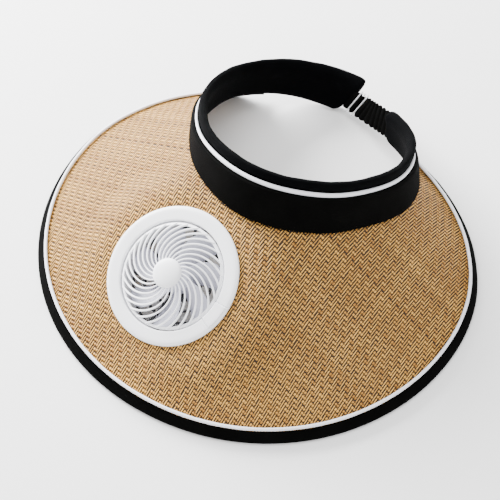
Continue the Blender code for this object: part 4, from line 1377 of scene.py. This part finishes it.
class FANHAT_OT_stage(bpy.types.Operator):
    """Lay the pale floor, hang the soft lights and set the camera"""

    bl_idname = "fan_hat.stage"
    bl_label = "Stage"

    def execute(self, context):
        settings = context.scene.fan_hat_stage
        bpy.ops.mesh.primitive_plane_add(size=FLOOR_SIZE)
        floor = context.active_object
        floor.name = "floor"
        floor.data.materials.append(Finish("pale_floor", settings.floor, 0.9).material)
        for name, place, size, power in (("key_light", KEY_PLACE, KEY_SIZE, settings.key),
                                         ("fill_light", FILL_PLACE, FILL_SIZE, settings.fill)):
            light = bpy.data.lights.new(name, "AREA")
            light.size = size
            light.energy = power
            lamp = bpy.data.objects.new(name, light)
            context.scene.collection.objects.link(lamp)
            lamp.location = place
            lamp.rotation_euler = (-Vector(place)).to_track_quat("-Z", "Y").to_euler()
        world = bpy.data.worlds.new("soft_surroundings")
        world.use_nodes = True
        background = world.node_tree.nodes["Background"]
        background.inputs["Color"].default_value = (1.0, 1.0, 1.0, 1.0)
        background.inputs["Strength"].default_value = settings.sky
        context.scene.world = world
        camera = bpy.data.cameras.new("camera")
        camera.sensor_width = SENSOR_WIDTH
        camera.lens = CAMERA_FOCAL_PIXELS * SENSOR_WIDTH / IMAGE_PIXELS
        viewer = bpy.data.objects.new("camera", camera)
        context.scene.collection.objects.link(viewer)
        right = Vector((math.cos(CAMERA_AZIMUTH), math.sin(CAMERA_AZIMUTH), 0.0))
        level = math.cos(CAMERA_ELEVATION)
        back = Vector((math.sin(CAMERA_AZIMUTH) * level, -math.cos(CAMERA_AZIMUTH) * level,
                       math.sin(CAMERA_ELEVATION)))
        axes = Matrix((right, back.cross(right), back)).transposed().to_4x4()
        axes.translation = CAMERA_PLACE
        viewer.matrix_world = axes
        context.scene.camera = viewer
        return {"FINISHED"}


OPERATORS = (
    FANHAT_OT_stage,
    FANHAT_OT_straw_brim,
    FANHAT_OT_brim_edge,
    FANHAT_OT_headband,
    FANHAT_OT_band_cord,
    FANHAT_OT_padded_roll,
    FANHAT_OT_back_closure,
    FANHAT_OT_fan_ring,
    FANHAT_OT_front_grille,
    FANHAT_OT_rear_guard,
    FANHAT_OT_rotor,
)
SETTINGS = (
    ("fan_hat_straw", StrawSettings),
    ("fan_hat_cloth", ClothSettings),
    ("fan_hat_fan", FanSettings),
    ("fan_hat_stage", StageSettings),
)


class FANHAT_PT_panel(bpy.types.Panel):
    """Lists the pieces of the fan hat and what can be set on them"""

    bl_label = "Fan Hat"
    bl_idname = "FANHAT_PT_panel"
    bl_space_type = "VIEW_3D"
    bl_region_type = "UI"
    bl_category = "Fan Hat"

    def draw(self, context):
        for operator in OPERATORS:
            self.layout.operator(operator.bl_idname)
        for name, group in SETTINGS:
            box = self.layout.box()
            for key in group.__annotations__:
                box.prop(getattr(context.scene, name), key)


def register():
    for name, group in SETTINGS:
        bpy.utils.register_class(group)
        setattr(bpy.types.Scene, name, PointerProperty(type=group))
    for item in (*OPERATORS, FANHAT_PT_panel):
        bpy.utils.register_class(item)


def unregister():
    for item in (FANHAT_PT_panel, *reversed(OPERATORS)):
        bpy.utils.unregister_class(item)
    for name, group in reversed(SETTINGS):
        delattr(bpy.types.Scene, name)
        bpy.utils.unregister_class(group)


def main():
    register()
    for operator in OPERATORS:
        getattr(bpy.ops.fan_hat, operator.bl_idname.split(".")[1])()
    bpy.context.view_layer.update()


if __name__ == "__main__":
    main()
